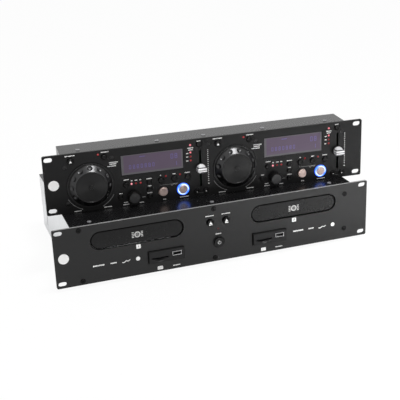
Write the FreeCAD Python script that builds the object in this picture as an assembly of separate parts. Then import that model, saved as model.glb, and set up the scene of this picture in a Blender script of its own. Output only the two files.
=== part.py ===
import FreeCAD, Part
import math
import os

# Two-deck disc player for a 19-inch rack: a player unit with two disc trays,
# and a controller unit that stands on the player's top cover, turned slightly.
# Millimetres. +X runs to the right, +Y to the back, +Z up. The origin is the
# centre of the player's front panel, on its front face.

os.makedirs("parts", exist_ok=True)
V = FreeCAD.Vector

# Cuts reach this far past a face, and edges are picked within this distance.
over = 1.0
touch = 0.01

# ---------------------------------------------------------------- rack panels
panel_width = 482.0
panel_height = 88.5
panel_thickness = 3.0
panel_corner = 2.5
rack_pitch_x = 465.1
rack_pitch_z = 76.2
rack_slot_length = 12.0
rack_slot_width = 7.0

# ----------------------------------------------------------------- sheet metal
sheet = 1.2
cover_sheet = 1.0
chassis_width = 430.0
chassis_depth = 242.0
edge_setback = 0.8
front_rim_height = 8.5
front_rim_width = 18.0
top_rim = 22.0
side_slot_from_rear = 40.0
side_slot_width = 4.5
side_slot_height = 60.0
vent_count = 14
vent_pitch = 8.0
vent_width = 3.0
vent_height = 34.0
vent_x = -60.0
foot_diameter = 18.0
foot_height = 6.3
foot_inset_x = 28.0
foot_inset_y = 26.0

# --------------------------------------------------------------------- screws
screw_shank_d = 2.9
screw_hole_d = 3.3
screw_head_d = 5.8
screw_head_height = 1.3
panel_screw_length = 7.0
panel_screw_x = 203.7
panel_screw_z_left = 38.5
panel_screw_z_right = 28.0
panel_screw_middle_x = -5.9
cover_screw_inset_x = 30.0
cover_screw_middle_x = -3.0
cover_screw_front_y = 14.5
cover_screw_rear_inset = 12.0
cover_screw_length = 5.0

# ---------------------------------------------------------- player front panel
tray_x = 120.5
tray_z = 18.5
mouth_length = 137.2
mouth_height = 28.0
mouth_gap = 1.3
fascia_recess = 1.4
fascia_thickness = 6.0
fascia_chamfer = 0.8
reader_x = 80.3
reader_z = -20.4
reader_width = 53.0
reader_height = 17.8
reader_gap = 1.1
reader_proud = 3.2
reader_edge = 0.5
fit_gap = 0.2
reader_flange = 2.5
reader_depth = 30.0
card_slot_x = -9.8
card_slot_z = -1.7
card_slot_width = 24.6
card_slot_height = 2.4
card_slot_depth = 24.0
finger_radius = 14.5
finger_floor_radius = 10.0
finger_drop = 4.9
finger_depth = 4.6
usb_x = 15.4
usb_z = 1.6
usb_width = 13.4
usb_height = 5.9
usb_wall = 0.5
usb_depth = 14.0
usb_tongue_height = 1.8
usb_tongue_setback = 1.0
drive_button_x = 12.2
drive_button_z = 18.2
drive_button_d = 9.4
drive_button_hole_d = 11.6
drive_button_proud = 3.6
status_led_z = 7.0
power_z = -14.0
power_cap_d = 14.2
power_bore_d = 15.0
power_barrel_wall = 1.2
power_ring_d = 18.2
power_ring_proud = 1.4
power_cap_proud = 4.2
power_travel = 3.0
power_groove_inset = 1.6
power_groove_width = 1.0
power_groove_depth = 0.3
power_body_depth = 22.0

# ------------------------------------------------------------- tray and loader
disc_d = 120.0
small_disc_d = 80.0
disc_play = 2.0
tray_width = 128.0
tray_travel = 136.0
tray_hold = 24.0
tray_height = 9.5
well_depth = 4.8
small_well_depth = 1.4
well_setback = 66.0
pickup_slot_width = 40.0
pickup_slot_back = 74.0
finger_notch_d = 18.0
runner_width = 1.6
runner_height = 3.0
runner_play = 0.3
loader_wall = 5.0
loader_base = 4.0
loader_length = 168.0
loader_front_gap = 3.0
clamp_bridge_width = 34.0
clamp_bridge_thickness = 3.0
clamp_gap = 5.5
clamp_disc_d = 32.0
turntable_d = 28.0
turntable_height = 3.4
turntable_gap = 0.8
deck_length = 96.0
deck_setback = 28.0
deck_edge = 10.0
loader_leg_d = 9.0
loader_leg_front = 48.0
loader_leg_back = 150.0

# ------------------------------------------------------- boards in the player
board_thickness = 1.6
front_board_width = 92.0
front_board_top = 30.0
front_board_y = 17.0
main_board_width = 340.0
main_board_depth = 50.0
main_board_rear_gap = 6.0
main_board_x = -10.0
main_board_lift = 6.0
spacer_d = 6.0
transformer_x = 176.0
transformer_y = 120.0
transformer_width = 56.0
transformer_depth = 48.0
transformer_height = 42.0
led_d = 3.0
led_hole_d = 3.2
led_proud = 0.6

# ---------------------------------------------------------------- rear sockets
phono_barrel_d = 8.3
phono_bore_d = 3.4
phono_length = 9.0
phono_base = 11.0
phono_pitch = 14.0
phono_x = 62.0
phono_count = 3
socket_board_gap = 0.3
socket_row_pitch = 14.0
din_d = 14.0
din_wall = 1.0
din_depth = 9.0
din_cup_d = 9.4
din_peg_width = 2.0
din_peg_length = 4.5
din_x = -140.0
din_pitch = 24.0
remote_jack_d = 8.0
remote_jack_bore_d = 3.6
remote_jack_x = -176.0
inlet_x = 176.0
inlet_z = -12.0
inlet_width = 48.0
inlet_height = 22.0
inlet_mouth_width = 25.0
inlet_mouth_height = 17.0
inlet_mouth_depth = 16.0
inlet_flange = 2.0
inlet_body_depth = 22.0
inlet_pin_width = 4.0
inlet_pin_thickness = 2.0
inlet_pin_length = 10.5
inlet_pin_pitch = 7.0
inlet_screw_pitch = 40.0

# ------------------------------------------------------------- controller unit
controller_x = 5.0
controller_y = 44.0
controller_turn = -3.5
case_width = 430.0
case_depth = 44.4
case_top_setback = 1.2
case_rim = 14.0
case_lip = 2.4
case_screw_x = (-188.0, -73.0, -3.0, 88.0, 188.0)
case_screw_y = 17.0
case_screw_length = 4.0
deck_pitch = 215.4
board_front = 19.0
board_margin = 6.0

# Front screws of the controller, from the panel's centre.
controller_screws = (
    (-210.0, 24.9),
    (-210.0, -30.0),
    (209.0, 28.4),
    (-142.8, 31.6),
    (-0.7, 34.8),
    (71.8, 31.0),
)
rim_screw_count = 3
screw_recess_d = 6.4
screw_recess_depth = 1.4

# Controls of one deck, from the deck's centre line and the panel's middle.
jog_x = -68.5
jog_z = -5.7
jog_hole_d = 67.6
jog_d = 66.2
jog_lip_width = 1.4
jog_lip_proud = 1.0
jog_groove_width = 0.9
jog_groove_depth = 2.0
jog_cone_top_d = 46.6
jog_height = 10.4
jog_chamfer = 0.6
jog_dish_depth = 0.5
jog_cap_d = 7.0
jog_cap_height = 0.8
jog_cap_chamfer = 0.4
dimple_count = 12
dimple_d = 8.2
dimple_depth = 1.5
dimple_phase = {"left": 29.0, "right": 18.0}
jog_back = 5.0
jog_hub_d = 16.0
shaft_d = 6.0
shaft_clearance = 0.05
bush_d = 12.0
bush_length = 6.0
thrust_gap = 0.5
display_x = 23.1
display_z = 17.2
display_width = 93.4
display_height = 32.0
display_gap = 0.2
display_recess = 0.6
display_body_margin = 5.0
display_body_depth = 9.0
led_column_gap = 10.3
fader_x = 94.2
fader_z = -1.1
fader_slot_width = 3.2
fader_slot_length = 56.4
fader_travel = 25.0
fader_skirt_d = 15.0
fader_skirt_height = 2.2
fader_cap_gap = 0.8
fader_grip_width = 13.4
fader_grip_length = 5.8
fader_grip_height = 11.2
fader_line_width = 0.7
fader_line_depth = 0.5
fader_dome_d = 14.6
fader_dome_top_d = 12.4
fader_dome_height = 9.6
fader_groove = 0.8
fader_lever_width = 1.6
fader_lever_length = 5.0
fader_body_width = 12.0
fader_body_height = 8.0
fader_body_margin = 8.0
fader_slot_play = 0.6
fader_lever_reach = 4.0
encoder_x = -7.8
encoder_z = -29.9
encoder_knob_d = 17.4
encoder_knob_height = 11.0
encoder_knob_gap = 0.9
encoder_flute_count = 18
encoder_flute_d = 1.6
encoder_top_d = 14.8
encoder_shoulder = 4.0
encoder_gap = 0.4
encoder_bush_d = 9.0
encoder_body = 12.0
encoder_body_height = 6.5
encoder_bush_proud = 3.0
encoder_socket_depth = 4.0
encoder_floor = 1.0
board_hole_play = 1.0
ring_x = 66.6
ring_z = -29.6
ring_d = 18.6
ring_proud = 1.6
ring_flange_d = 22.0
ring_back = 3.0
ring_chamfer = 0.6
ring_bore_chamfer = 0.4

# Push buttons of one deck: x, z, cap diameter and how far the cap stands out.
deck_buttons = {
    "open": (-94.0, 33.0, 8.4, 2.6),
    "single": (-46.2, 33.8, 7.0, 2.2),
    "pitch": (93.5, 35.8, 8.0, 2.2),
    "time": (-17.5, -12.2, 7.0, 2.2),
    "upper_bank": (16.9, -12.2, 7.0, 2.2),
    "middle_bank": (16.9, -23.2, 7.0, 2.2),
    "lower_bank": (16.9, -34.1, 7.0, 2.2),
    "search": (-26.4, -29.8, 6.2, 2.2),
    "bend_minus": (87.3, -36.6, 6.6, 2.2),
    "bend_plus": (101.1, -36.6, 6.6, 2.2),
    "loop_in": (34.4, -11.9, 8.0, 2.2),
    "loop_out": (54.3, -11.9, 8.0, 2.2),
    "reloop": (74.3, -11.9, 8.0, 2.2),
    "cue": (36.8, -29.6, 13.0, 3.0),
    "play": (ring_x, ring_z, 13.0, 3.2),
}
button_gap = 0.9
ring_gap = 0.4
button_travel = 1.0
button_flange = 1.7
button_flange_thickness = 1.0
button_flange_gap = 0.3
button_stem_d = 3.0
button_chamfer = 0.6
plunger_gap = 0.3
switch_size = 6.0
switch_height = 3.6

# Indicator lamps of one deck; one column stands beside the display.
led_column_x = display_x + display_width / 2 + led_column_gap
deck_leds = (
    (-54.3, 38.2),
    (led_column_x, 35.8),
    (led_column_x, 24.6),
    (led_column_x, 18.4),
    (led_column_x, 12.4),
    (-9.2, -11.8),
    (-2.6, -11.8),
    (4.2, -11.8),
    (41.9, -6.7),
    (63.1, -6.7),
)

# ------------------------------------------------------------- derived places
panel_half = panel_height / 2
chassis_bottom = -panel_half + edge_setback
cover_top = panel_half - edge_setback
chassis_top = cover_top - cover_sheet
chassis_back = panel_thickness + chassis_depth
cover_screw_x = chassis_width / 2 - cover_screw_inset_x
cover_screw_rear_y = chassis_back - cover_screw_rear_inset
floor_top = chassis_bottom + sheet
rear_inside = chassis_back - sheet
controller_z = cover_top + panel_half
case_back = panel_thickness + case_depth
case_bottom = -panel_half
case_top = panel_half - case_top_setback
board_back = board_front + board_thickness
fascia_back = fascia_recess + fascia_thickness
tray_bottom = tray_z - tray_height / 2
tray_top = tray_z + tray_height / 2
tray_back = fascia_back + tray_travel + tray_hold
well_y = fascia_back + well_setback
loader_front = fascia_back + loader_front_gap
loader_back = loader_front + loader_length
loader_top = tray_top + runner_play + clamp_gap
deck_middle = well_y + deck_setback
main_board_top = floor_top + main_board_lift + board_thickness
socket_z_low = main_board_top + socket_board_gap + din_d / 2 + din_wall
socket_z_high = socket_z_low + socket_row_pitch
ring_bore_d = deck_buttons["play"][2] + 2 * ring_gap
decks = {"left": -deck_pitch / 2, "right": deck_pitch / 2}
sides = {"left": -1, "right": 1}
controller_place = FreeCAD.Placement(
    V(controller_x, controller_y, controller_z), FreeCAD.Rotation(V(0, 0, 1), controller_turn)
)


# ------------------------------------------------------------------- helpers
def box(x, y, z):
    """A block from its low and high values along each axis."""
    corner = V(x[0], y[0], z[0])
    return Part.makeBox(x[1] - x[0], y[1] - y[0], z[1] - z[0], corner)


def around(middle, size):
    """Low and high value of a length centred on a value."""
    return (middle - size / 2, middle + size / 2)


def rod(x, z, y, diameter):
    """A round bar along Y."""
    return Part.makeCylinder(diameter / 2, y[1] - y[0], V(x, y[0], z), V(0, 1, 0))


def post(x, y, z, diameter):
    """A round bar along Z."""
    return Part.makeCylinder(diameter / 2, z[1] - z[0], V(x, y, z[0]))


def pill(x, z, y, length, height):
    """A bar along Y whose section is a flat band with round ends, along X."""
    straight = length - height
    middle = box(around(x, straight), y, around(z, height))
    left = rod(x - straight / 2, z, y, height)
    right = rod(x + straight / 2, z, y, height)
    return middle.fuse([left, right]).removeSplitter()


def turned(x, z, profile):
    """A solid turned about a Y line, from (radius, y) points in order."""
    points = [V(x + radius, y, z) for radius, y in profile]
    face = Part.Face(Part.makePolygon(points + points[:1]))
    return face.revolve(V(x, 0, z), V(0, 1, 0), 360)


def save(name, shape, place=None):
    """Write one node; a list of solids is written as a group."""
    solid = Part.makeCompound(shape) if isinstance(shape, list) else shape
    if place is not None:
        solid = solid.copy()
        solid.Placement = place.multiply(solid.Placement)
    solid.exportStep("parts/" + name + ".step")


# ------------------------------------------------------------ both front panels
def panel_blank():
    """A rack panel with rounded corners and its four mounting slots."""
    blank = box(around(0, panel_width), (0, panel_thickness), around(0, panel_height))
    uprights = [e for e in blank.Edges if abs(e.BoundBox.YLength - panel_thickness) < touch]
    blank = blank.makeFillet(panel_corner, uprights)
    through = (-over, panel_thickness + over)
    slots = []
    for side_x in sides.values():
        for side_z in sides.values():
            x = side_x * rack_pitch_x / 2
            z = side_z * rack_pitch_z / 2
            slots.append(pill(x, z, through, rack_slot_length, rack_slot_width))
    return blank.cut(slots)


def screw(x, z, head_face, length):
    """A pan-head screw along Y; its head stands out of a front face."""
    head = rod(x, z, (head_face - screw_head_height, head_face), screw_head_d)
    shank = rod(x, z, (head_face, head_face + length), screw_shank_d)
    rim = [e for e in head.Edges if abs(e.BoundBox.YMax - head.BoundBox.YMin) < touch]
    head = head.makeChamfer(screw_head_height / 2, rim)
    return head.fuse(shank).removeSplitter()


def cap_screw(x, y, z, length):
    """A pan-head screw along Z; its head stands on an upward face."""
    head = post(x, y, (z, z + screw_head_height), screw_head_d)
    shank = post(x, y, (z - length, z), screw_shank_d)
    rim = [e for e in head.Edges if abs(e.BoundBox.ZMin - head.BoundBox.ZMax) < touch]
    head = head.makeChamfer(screw_head_height / 2, rim)
    return head.fuse(shank).removeSplitter()


# --------------------------------------------------------------- player unit
player_screws = (
    (-panel_screw_x, panel_screw_z_left),
    (-panel_screw_x, -panel_screw_z_left),
    (panel_screw_middle_x, panel_screw_z_left),
    (panel_screw_middle_x, -panel_screw_z_left),
    (panel_screw_x, panel_screw_z_right),
    (panel_screw_x, -panel_screw_z_right),
)
cover_screws = (
    (-cover_screw_x, cover_screw_front_y),
    (cover_screw_middle_x, cover_screw_front_y),
    (cover_screw_x, cover_screw_front_y),
    (-cover_screw_x, cover_screw_rear_y),
    (cover_screw_middle_x, cover_screw_rear_y),
    (cover_screw_x, cover_screw_rear_y),
)


def drive_front_panel():
    through = (-over, panel_thickness + over)
    cuts = []
    for side in sides.values():
        cuts.append(pill(side * tray_x, tray_z, through, mouth_length, mouth_height))
        cuts.append(rod(side * drive_button_x, drive_button_z, through, drive_button_hole_d))
        window_x = around(side * reader_x, reader_width + 2 * reader_gap)
        cuts.append(box(window_x, through, around(reader_z, reader_height + 2 * reader_gap)))
    cuts.append(rod(0, status_led_z, through, led_hole_d))
    cuts.append(rod(0, power_z, through, power_bore_d + 2 * (power_barrel_wall + fit_gap)))
    for x, z in player_screws:
        cuts.append(rod(x, z, through, screw_hole_d))
    return panel_blank().cut(cuts)


def rear_cutouts():
    """Openings in the rear wall for its sockets and the slots for air."""
    through = (rear_inside - over, chassis_back + over)
    cuts = []
    for x, z in phono_places():
        cuts.append(rod(x, z, through, phono_barrel_d + 2 * fit_gap))
    for x in din_places():
        cuts.append(rod(x, socket_z_low, through, din_d + 2 * fit_gap))
    cuts.append(rod(remote_jack_x, socket_z_low, through, remote_jack_d + 2 * fit_gap))
    inlet_body_x = around(inlet_x, inlet_mouth_width + 2 * sheet + 2 * fit_gap)
    inlet_body_z = around(inlet_z, inlet_mouth_height + 2 * sheet + 2 * fit_gap)
    cuts.append(box(inlet_body_x, through, inlet_body_z))
    for side in sides.values():
        x = inlet_x + side * inlet_screw_pitch / 2
        cuts.append(rod(x, inlet_z, through, screw_hole_d))
    for index in range(vent_count):
        x = vent_x + (index - (vent_count - 1) / 2) * vent_pitch
        cuts.append(box(around(x, vent_width), through, around(tray_z, vent_height)))
    return cuts


def drive_chassis():
    half = chassis_width / 2
    shell = box((-half, half), (panel_thickness, chassis_back), (chassis_bottom, chassis_top))
    inside_x = (-half + sheet, half - sheet)
    inside_y = (panel_thickness + sheet, rear_inside)
    inside = box(inside_x, inside_y, (floor_top, chassis_top - sheet))
    front_x = (-half + front_rim_width, half - front_rim_width)
    front_z = (chassis_bottom + front_rim_height, chassis_top - front_rim_height)
    front = box(front_x, (panel_thickness - over, panel_thickness + sheet + over), front_z)
    top_x = (-half + top_rim, half - top_rim)
    top_y = (panel_thickness + top_rim, chassis_back - top_rim)
    top = box(top_x, top_y, (chassis_top - sheet - over, chassis_top + over))
    slot_y = around(chassis_back - side_slot_from_rear, side_slot_width)
    side_slots = box((-half - over, half + over), slot_y, around(0, side_slot_height))
    cuts = [inside, front, top, side_slots] + rear_cutouts()
    front_hole = (panel_thickness - over, panel_thickness + sheet + over)
    for x, z in player_screws:
        cuts.append(rod(x, z, front_hole, screw_hole_d))
    for x, y in cover_screws:
        cuts.append(post(x, y, (chassis_top - sheet - over, chassis_top + over), screw_hole_d))
    for x, y in foot_places():
        cuts.append(post(x, y, (chassis_bottom - over, floor_top + over), screw_hole_d))
    return shell.cut(cuts)


def drive_top_cover():
    half = chassis_width / 2
    plate = box((-half, half), (panel_thickness, chassis_back), (chassis_top, cover_top))
    holes = [post(x, y, (chassis_top - over, cover_top + over), screw_hole_d) for x, y in cover_screws]
    return plate.cut(holes)


def foot_places():
    half = chassis_width / 2 - foot_inset_x
    front = panel_thickness + foot_inset_y
    back = chassis_back - foot_inset_y
    return [(x, y) for x in (-half, half) for y in (front, back)]


def drive_feet():
    """Four rubber feet with a plug that holds them in the floor's holes."""
    feet = []
    for x, y in foot_places():
        bottom = chassis_bottom - foot_height
        pad = Part.makeCone(foot_diameter / 2 - over, foot_diameter / 2, foot_height, V(x, y, bottom))
        plug = post(x, y, (chassis_bottom, floor_top + over), screw_shank_d)
        feet.append(pad.fuse(plug))
    return feet


def drive_screws():
    front = [screw(x, z, 0, panel_screw_length) for x, z in player_screws]
    top = [cap_screw(x, y, cover_top, cover_screw_length) for x, y in cover_screws]
    return front + top


def card_reader(x):
    """Block that stands out of the panel, with a card slot over a sloped finger scoop."""
    face = -reader_proud
    back = panel_thickness
    plug_x = around(x, reader_width)
    plug_z = around(reader_z, reader_height)
    plug = box(plug_x, (face, back), plug_z)
    rim = [e for e in plug.Edges if e.BoundBox.YMax < face + touch]
    plug = plug.makeChamfer(reader_edge, rim)
    flange_x = around(x, reader_width + 2 * (reader_gap + reader_flange))
    flange_z = around(reader_z, reader_height + 2 * (reader_gap + reader_flange))
    flange = box(flange_x, (back, back + sheet), flange_z)
    body = box(plug_x, (back, back + reader_depth), plug_z)
    slot_x = around(x + card_slot_x, card_slot_width)
    slot_z = around(reader_z + card_slot_z, card_slot_height)
    slot = box(slot_x, (face - over, face + card_slot_depth), slot_z)
    scoop_z = slot_z[0] - finger_drop + finger_radius
    scoop = Part.makeCone(finger_radius, finger_floor_radius, finger_depth,
                          V(x + card_slot_x, face, scoop_z), V(0, 1, 0))
    below_slot = box(slot_x, (face - over, face + finger_depth), (plug_z[0], slot_z[0] + touch))
    port_x = around(x + usb_x, usb_width)
    port_z = around(reader_z + usb_z, usb_height)
    port = box(port_x, (face - over, face + usb_depth + over), port_z)
    block = plug.fuse([flange, body]).removeSplitter()
    return block.cut([slot, scoop.common(below_slot), port])


def usb_socket(x):
    """Metal shell and its contact tongue, seated in the reader's opening."""
    front = fit_gap - reader_proud
    shell_x = around(x + usb_x, usb_width - 2 * fit_gap)
    shell_z = around(reader_z + usb_z, usb_height - 2 * fit_gap)
    shell = box(shell_x, (front, front + usb_depth), shell_z)
    hollow_x = (shell_x[0] + usb_wall, shell_x[1] - usb_wall)
    hollow_z = (shell_z[0] + usb_wall, shell_z[1] - usb_wall)
    hollow = box(hollow_x, (front - over, front + usb_depth - usb_wall), hollow_z)
    tongue_z = (hollow_z[1] - usb_tongue_height, hollow_z[1])
    tongue = box((hollow_x[0] + usb_wall, hollow_x[1] - usb_wall),
                 (front + usb_tongue_setback, front + usb_depth - usb_wall), tongue_z)
    return shell.cut(hollow).fuse(tongue)


def card_readers():
    solids = []
    for side in sides.values():
        solids.append(card_reader(side * reader_x))
        solids.append(usb_socket(side * reader_x))
    return solids


def power_switch():
    """Ring bezel, barrel and switch body of the mains push switch."""
    barrel_d = power_bore_d + 2 * power_barrel_wall
    ring = rod(0, power_z, (-power_ring_proud, 0), power_ring_d)
    rim = [e for e in ring.Edges if abs(e.BoundBox.YMax + power_ring_proud) < touch]
    ring = ring.makeChamfer(power_ring_proud / 2, rim)
    barrel = rod(0, power_z, (0, panel_thickness), barrel_d)
    body_y = (panel_thickness, panel_thickness + power_body_depth)
    body = box(around(0, power_ring_d), body_y, around(power_z, power_ring_d))
    bore_y = (-power_ring_proud - over, panel_thickness + power_body_depth / 2)
    bore = rod(0, power_z, bore_y, power_bore_d)
    return ring.fuse([barrel, body]).cut(bore)


def power_button():
    """Round cap with a shallow ring groove; it travels inside the bezel."""
    radius = power_cap_d / 2
    back = panel_thickness + power_body_depth / 2 - power_travel - plunger_gap
    face = -power_cap_proud
    groove = radius - power_groove_inset
    groove_in = groove - power_groove_width
    groove_face = face + power_groove_depth
    profile = [
        (0, face),
        (groove_in, face),
        (groove_in + power_groove_depth, groove_face),
        (groove - power_groove_depth, groove_face),
        (groove, face),
        (radius - button_chamfer, face),
        (radius, face + button_chamfer),
        (radius, back),
        (0, back),
    ]
    return turned(0, power_z, profile)


def drive_open_button(side):
    x = side * drive_button_x
    cap_y = (-drive_button_proud, panel_thickness + button_flange_gap)
    return plunger(x, drive_button_z, cap_y, drive_button_d, front_board_y)


def tray(x):
    """Disc tray with a well for each disc size, a pickup slot and runners."""
    half = tray_width / 2
    plate = box((x - half, x + half), (fascia_back, tray_back), (tray_bottom, tray_top))
    corners = [
        e for e in plate.Edges
        if e.BoundBox.ZLength > tray_height - touch and e.BoundBox.YMin > tray_back - touch
    ]
    plate = plate.makeFillet(loader_wall, corners)
    floor = tray_top - well_depth
    well = post(x, well_y, (floor, tray_top + over), disc_d + disc_play)
    small = post(x, well_y, (floor - small_well_depth, floor), small_disc_d + disc_play)
    slot_z = (tray_bottom - over, tray_top + over)
    slot = box(around(x, pickup_slot_width), (well_y, well_y + pickup_slot_back), slot_z)
    slot_end = post(x, well_y, slot_z, pickup_slot_width)
    reach = disc_d / 2 * math.sqrt(0.5)
    notches = []
    for side in sides.values():
        notches.append(post(x + side * reach, well_y - reach, (floor, tray_top + over), finger_notch_d))
    runners = []
    runner_y = (fascia_back + runner_width, tray_back - loader_wall)
    for side in sides.values():
        inner = x + side * half
        runner_x = tuple(sorted((inner, inner + side * runner_width)))
        runners.append(box(runner_x, runner_y, around(tray_z, runner_height)))
    return plate.cut([well, small, slot, slot_end] + notches).fuse(runners).removeSplitter()


def tray_fascia(x):
    """Pill-shaped front of the tray, set just behind the panel's face."""
    length = mouth_length - 2 * mouth_gap
    height = mouth_height - 2 * mouth_gap
    block = pill(x, tray_z, (fascia_recess, fascia_back), length, height)
    front = [e for e in block.Edges if abs(e.BoundBox.YMax - fascia_recess) < touch]
    return block.makeChamfer(fascia_chamfer, front)


def loader(x):
    """Loader frame on four legs: side walls grooved for the tray's runners."""
    inner = tray_width / 2 + runner_play
    outer = inner + runner_width + loader_wall
    length = (loader_front, loader_back)
    base_top = tray_bottom - runner_play
    base = box((x - outer, x + outer), length, (base_top - loader_base, base_top))
    window_z = (base_top - loader_base - over, base_top + over)
    frame = base.cut(box(around(x, 2 * (inner - deck_edge)), around(deck_middle, deck_length), window_z))
    walls = []
    grooves = []
    for side in sides.values():
        wall_x = tuple(sorted((x + side * inner, x + side * outer)))
        walls.append(box(wall_x, length, (base_top, loader_top)))
        groove_x = tuple(sorted((x + side * inner, x + side * (inner + runner_width))))
        groove_z = around(tray_z, runner_height + 2 * runner_play)
        grooves.append(box(groove_x, (loader_front - over, tray_back + runner_play), groove_z))
    bridge_z = (loader_top, loader_top + clamp_bridge_thickness)
    bridge = box((x - outer, x + outer), around(well_y, clamp_bridge_width), bridge_z)
    legs = []
    for leg_x in (x - outer + loader_leg_d / 2, x + outer - loader_leg_d / 2):
        for leg_y in (loader_leg_front, loader_leg_back):
            legs.append(post(leg_x, leg_y, (floor_top, base_top - loader_base), loader_leg_d))
    return frame.fuse(walls + [bridge] + legs).cut(grooves).removeSplitter()


def disc_mechanism(x):
    """Turntable deck across the loader's window, and the disc clamp above."""
    base_top = tray_bottom - runner_play
    deck_top = base_top - turntable_gap - turntable_height
    inner = tray_width / 2 + runner_play
    deck_y = around(deck_middle, deck_length)
    deck = box(around(x, 2 * (inner - deck_edge)), deck_y, (deck_top - loader_base, deck_top))
    turntable = post(x, well_y, (deck_top, deck_top + turntable_height), turntable_d)
    hub = post(x, well_y, (deck_top + turntable_height, base_top), turntable_d / 2)
    clamp = post(x, well_y, (loader_top - clamp_bridge_thickness, loader_top), clamp_disc_d)
    return [deck.fuse([turntable, hub]).removeSplitter(), clamp]


def loader_assembly(x):
    return [loader(x)] + disc_mechanism(x)


def drive_boards():
    """Key board behind the panel, main board on spacers and the transformer."""
    key_y = (front_board_y, front_board_y + board_thickness)
    key_board = box(around(0, front_board_width), key_y, (floor_top, front_board_top))
    switch_z = (floor_top - over, power_z + power_ring_d / 2 + board_thickness)
    switch_x = around(0, power_ring_d + 2 * board_thickness)
    key_board = key_board.cut(box(switch_x, (key_y[0] - over, key_y[1] + over), switch_z))
    switches = []
    for side in sides.values():
        switches.append(key_switch(side * drive_button_x, drive_button_z, front_board_y))
    main_y = (rear_inside - main_board_rear_gap - main_board_depth, rear_inside - main_board_rear_gap)
    main_z = (main_board_top - board_thickness, main_board_top)
    main_board = box(around(main_board_x, main_board_width), main_y, main_z)
    spacers = []
    for x in around(main_board_x, main_board_width - 2 * spacer_d):
        for y in (main_y[0] + spacer_d, main_y[1] - spacer_d):
            spacers.append(post(x, y, (floor_top, main_z[0]), spacer_d))
    core_x = around(transformer_x, transformer_width)
    core_y = around(transformer_y, transformer_depth)
    transformer = box(core_x, core_y, (floor_top, floor_top + transformer_height))
    lamp = rod(0, status_led_z, (-led_proud, front_board_y), led_d)
    return [key_board, main_board, transformer, lamp] + switches + spacers


# ------------------------------------------------------- sockets in the rear wall
def phono_places():
    columns = [phono_x + index * phono_pitch for index in range(phono_count)]
    return [(x, z) for x in columns for z in (socket_z_low, socket_z_high)]


def din_places():
    return [din_x, din_x + din_pitch]


def phono_socket(x, z):
    """Barrel outside the wall, square insulator inside."""
    base = box(around(x, phono_base), (rear_inside - phono_base, rear_inside), around(z, phono_base))
    barrel = rod(x, z, (rear_inside, chassis_back + phono_length), phono_barrel_d)
    bore = rod(x, z, (chassis_back, chassis_back + phono_length + over), phono_bore_d)
    return base.fuse(barrel).cut(bore)


def din_socket(x, front, wall):
    """Round cup in a square body, through a wall, with a peg in its floor."""
    inner, outer = wall
    body_x = around(x, din_d + 2 * din_wall)
    body = box(body_x, (front, inner), around(socket_z_low, din_d + 2 * din_wall))
    nose = rod(x, socket_z_low, (inner, outer + din_wall), din_d)
    floor = inner - din_depth
    cup = rod(x, socket_z_low, (floor, outer + 2 * din_wall), din_cup_d)
    peg_y = (floor, floor + din_peg_length)
    peg = box(around(x, din_peg_width), peg_y, around(socket_z_low, din_peg_width / 2))
    return body.fuse(nose).cut(cup).fuse(peg)


def remote_jack():
    width = remote_jack_d + 2 * din_wall
    front = rear_inside - din_depth
    end = chassis_back + din_wall
    body = box(around(remote_jack_x, width), (front, rear_inside), around(socket_z_low, width))
    nose = rod(remote_jack_x, socket_z_low, (rear_inside, end), remote_jack_d)
    bore = rod(remote_jack_x, socket_z_low, (front + din_wall, end + over), remote_jack_bore_d)
    return body.fuse(nose).cut(bore)


def mains_inlet():
    """Three-pin appliance inlet on a flange outside the rear wall."""
    flange_y = (chassis_back, chassis_back + inlet_flange)
    flange = box(around(inlet_x, inlet_width), flange_y, around(inlet_z, inlet_height))
    body_x = around(inlet_x, inlet_mouth_width + 2 * sheet)
    body_z = around(inlet_z, inlet_mouth_height + 2 * sheet)
    body = box(body_x, (flange_y[1] - inlet_body_depth, chassis_back), body_z)
    mouth_y = (flange_y[1] - inlet_mouth_depth, flange_y[1] + over)
    mouth_x = around(inlet_x, inlet_mouth_width)
    mouth_z = around(inlet_z, inlet_mouth_height)
    mouth = box(mouth_x, mouth_y, mouth_z)
    corner = inlet_mouth_height / 4
    top_edges = [
        e for e in mouth.Edges
        if e.BoundBox.YLength > inlet_mouth_depth - over and e.BoundBox.ZMin > mouth_z[1] - touch
    ]
    mouth = mouth.makeChamfer(corner, top_edges)
    pins = []
    for step, lift in ((-1, -1), (0, 1), (1, -1)):
        pin_x = around(inlet_x + step * inlet_pin_pitch, inlet_pin_thickness)
        pin_z = around(inlet_z + lift * inlet_pin_width / 2, inlet_pin_width)
        pins.append(box(pin_x, (mouth_y[0], mouth_y[0] + inlet_pin_length), pin_z))
    holes = []
    for side in sides.values():
        x = inlet_x + side * inlet_screw_pitch / 2
        holes.append(rod(x, inlet_z, (chassis_back - over, flange_y[1] + over), screw_hole_d))
    return flange.fuse(body).cut([mouth] + holes).fuse(pins)


def rear_sockets():
    phonos = [phono_socket(x, z) for x, z in phono_places()]
    din_front = rear_inside - din_depth - din_wall
    dins = [din_socket(x, din_front, (rear_inside, chassis_back)) for x in din_places()]
    return phonos + dins + [remote_jack(), mains_inlet()]


# ------------------------------------------------------------- controller unit
def plunger(x, z, cap_y, diameter, board_y):
    """Push-button cap with a retaining flange and a stem to its switch."""
    radius = diameter / 2
    flange_back = cap_y[1] + button_flange_thickness
    stem_end = board_y - switch_height - button_travel - plunger_gap
    profile = [
        (0, cap_y[0] + button_chamfer / 2),
        (radius / 2, cap_y[0] + button_chamfer / 4),
        (radius - button_chamfer, cap_y[0]),
        (radius, cap_y[0] + button_chamfer),
        (radius, cap_y[1]),
        (radius + button_flange, cap_y[1]),
        (radius + button_flange, flange_back),
        (button_stem_d / 2, flange_back),
        (button_stem_d / 2, stem_end),
        (0, stem_end),
    ]
    return turned(x, z, profile)


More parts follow.
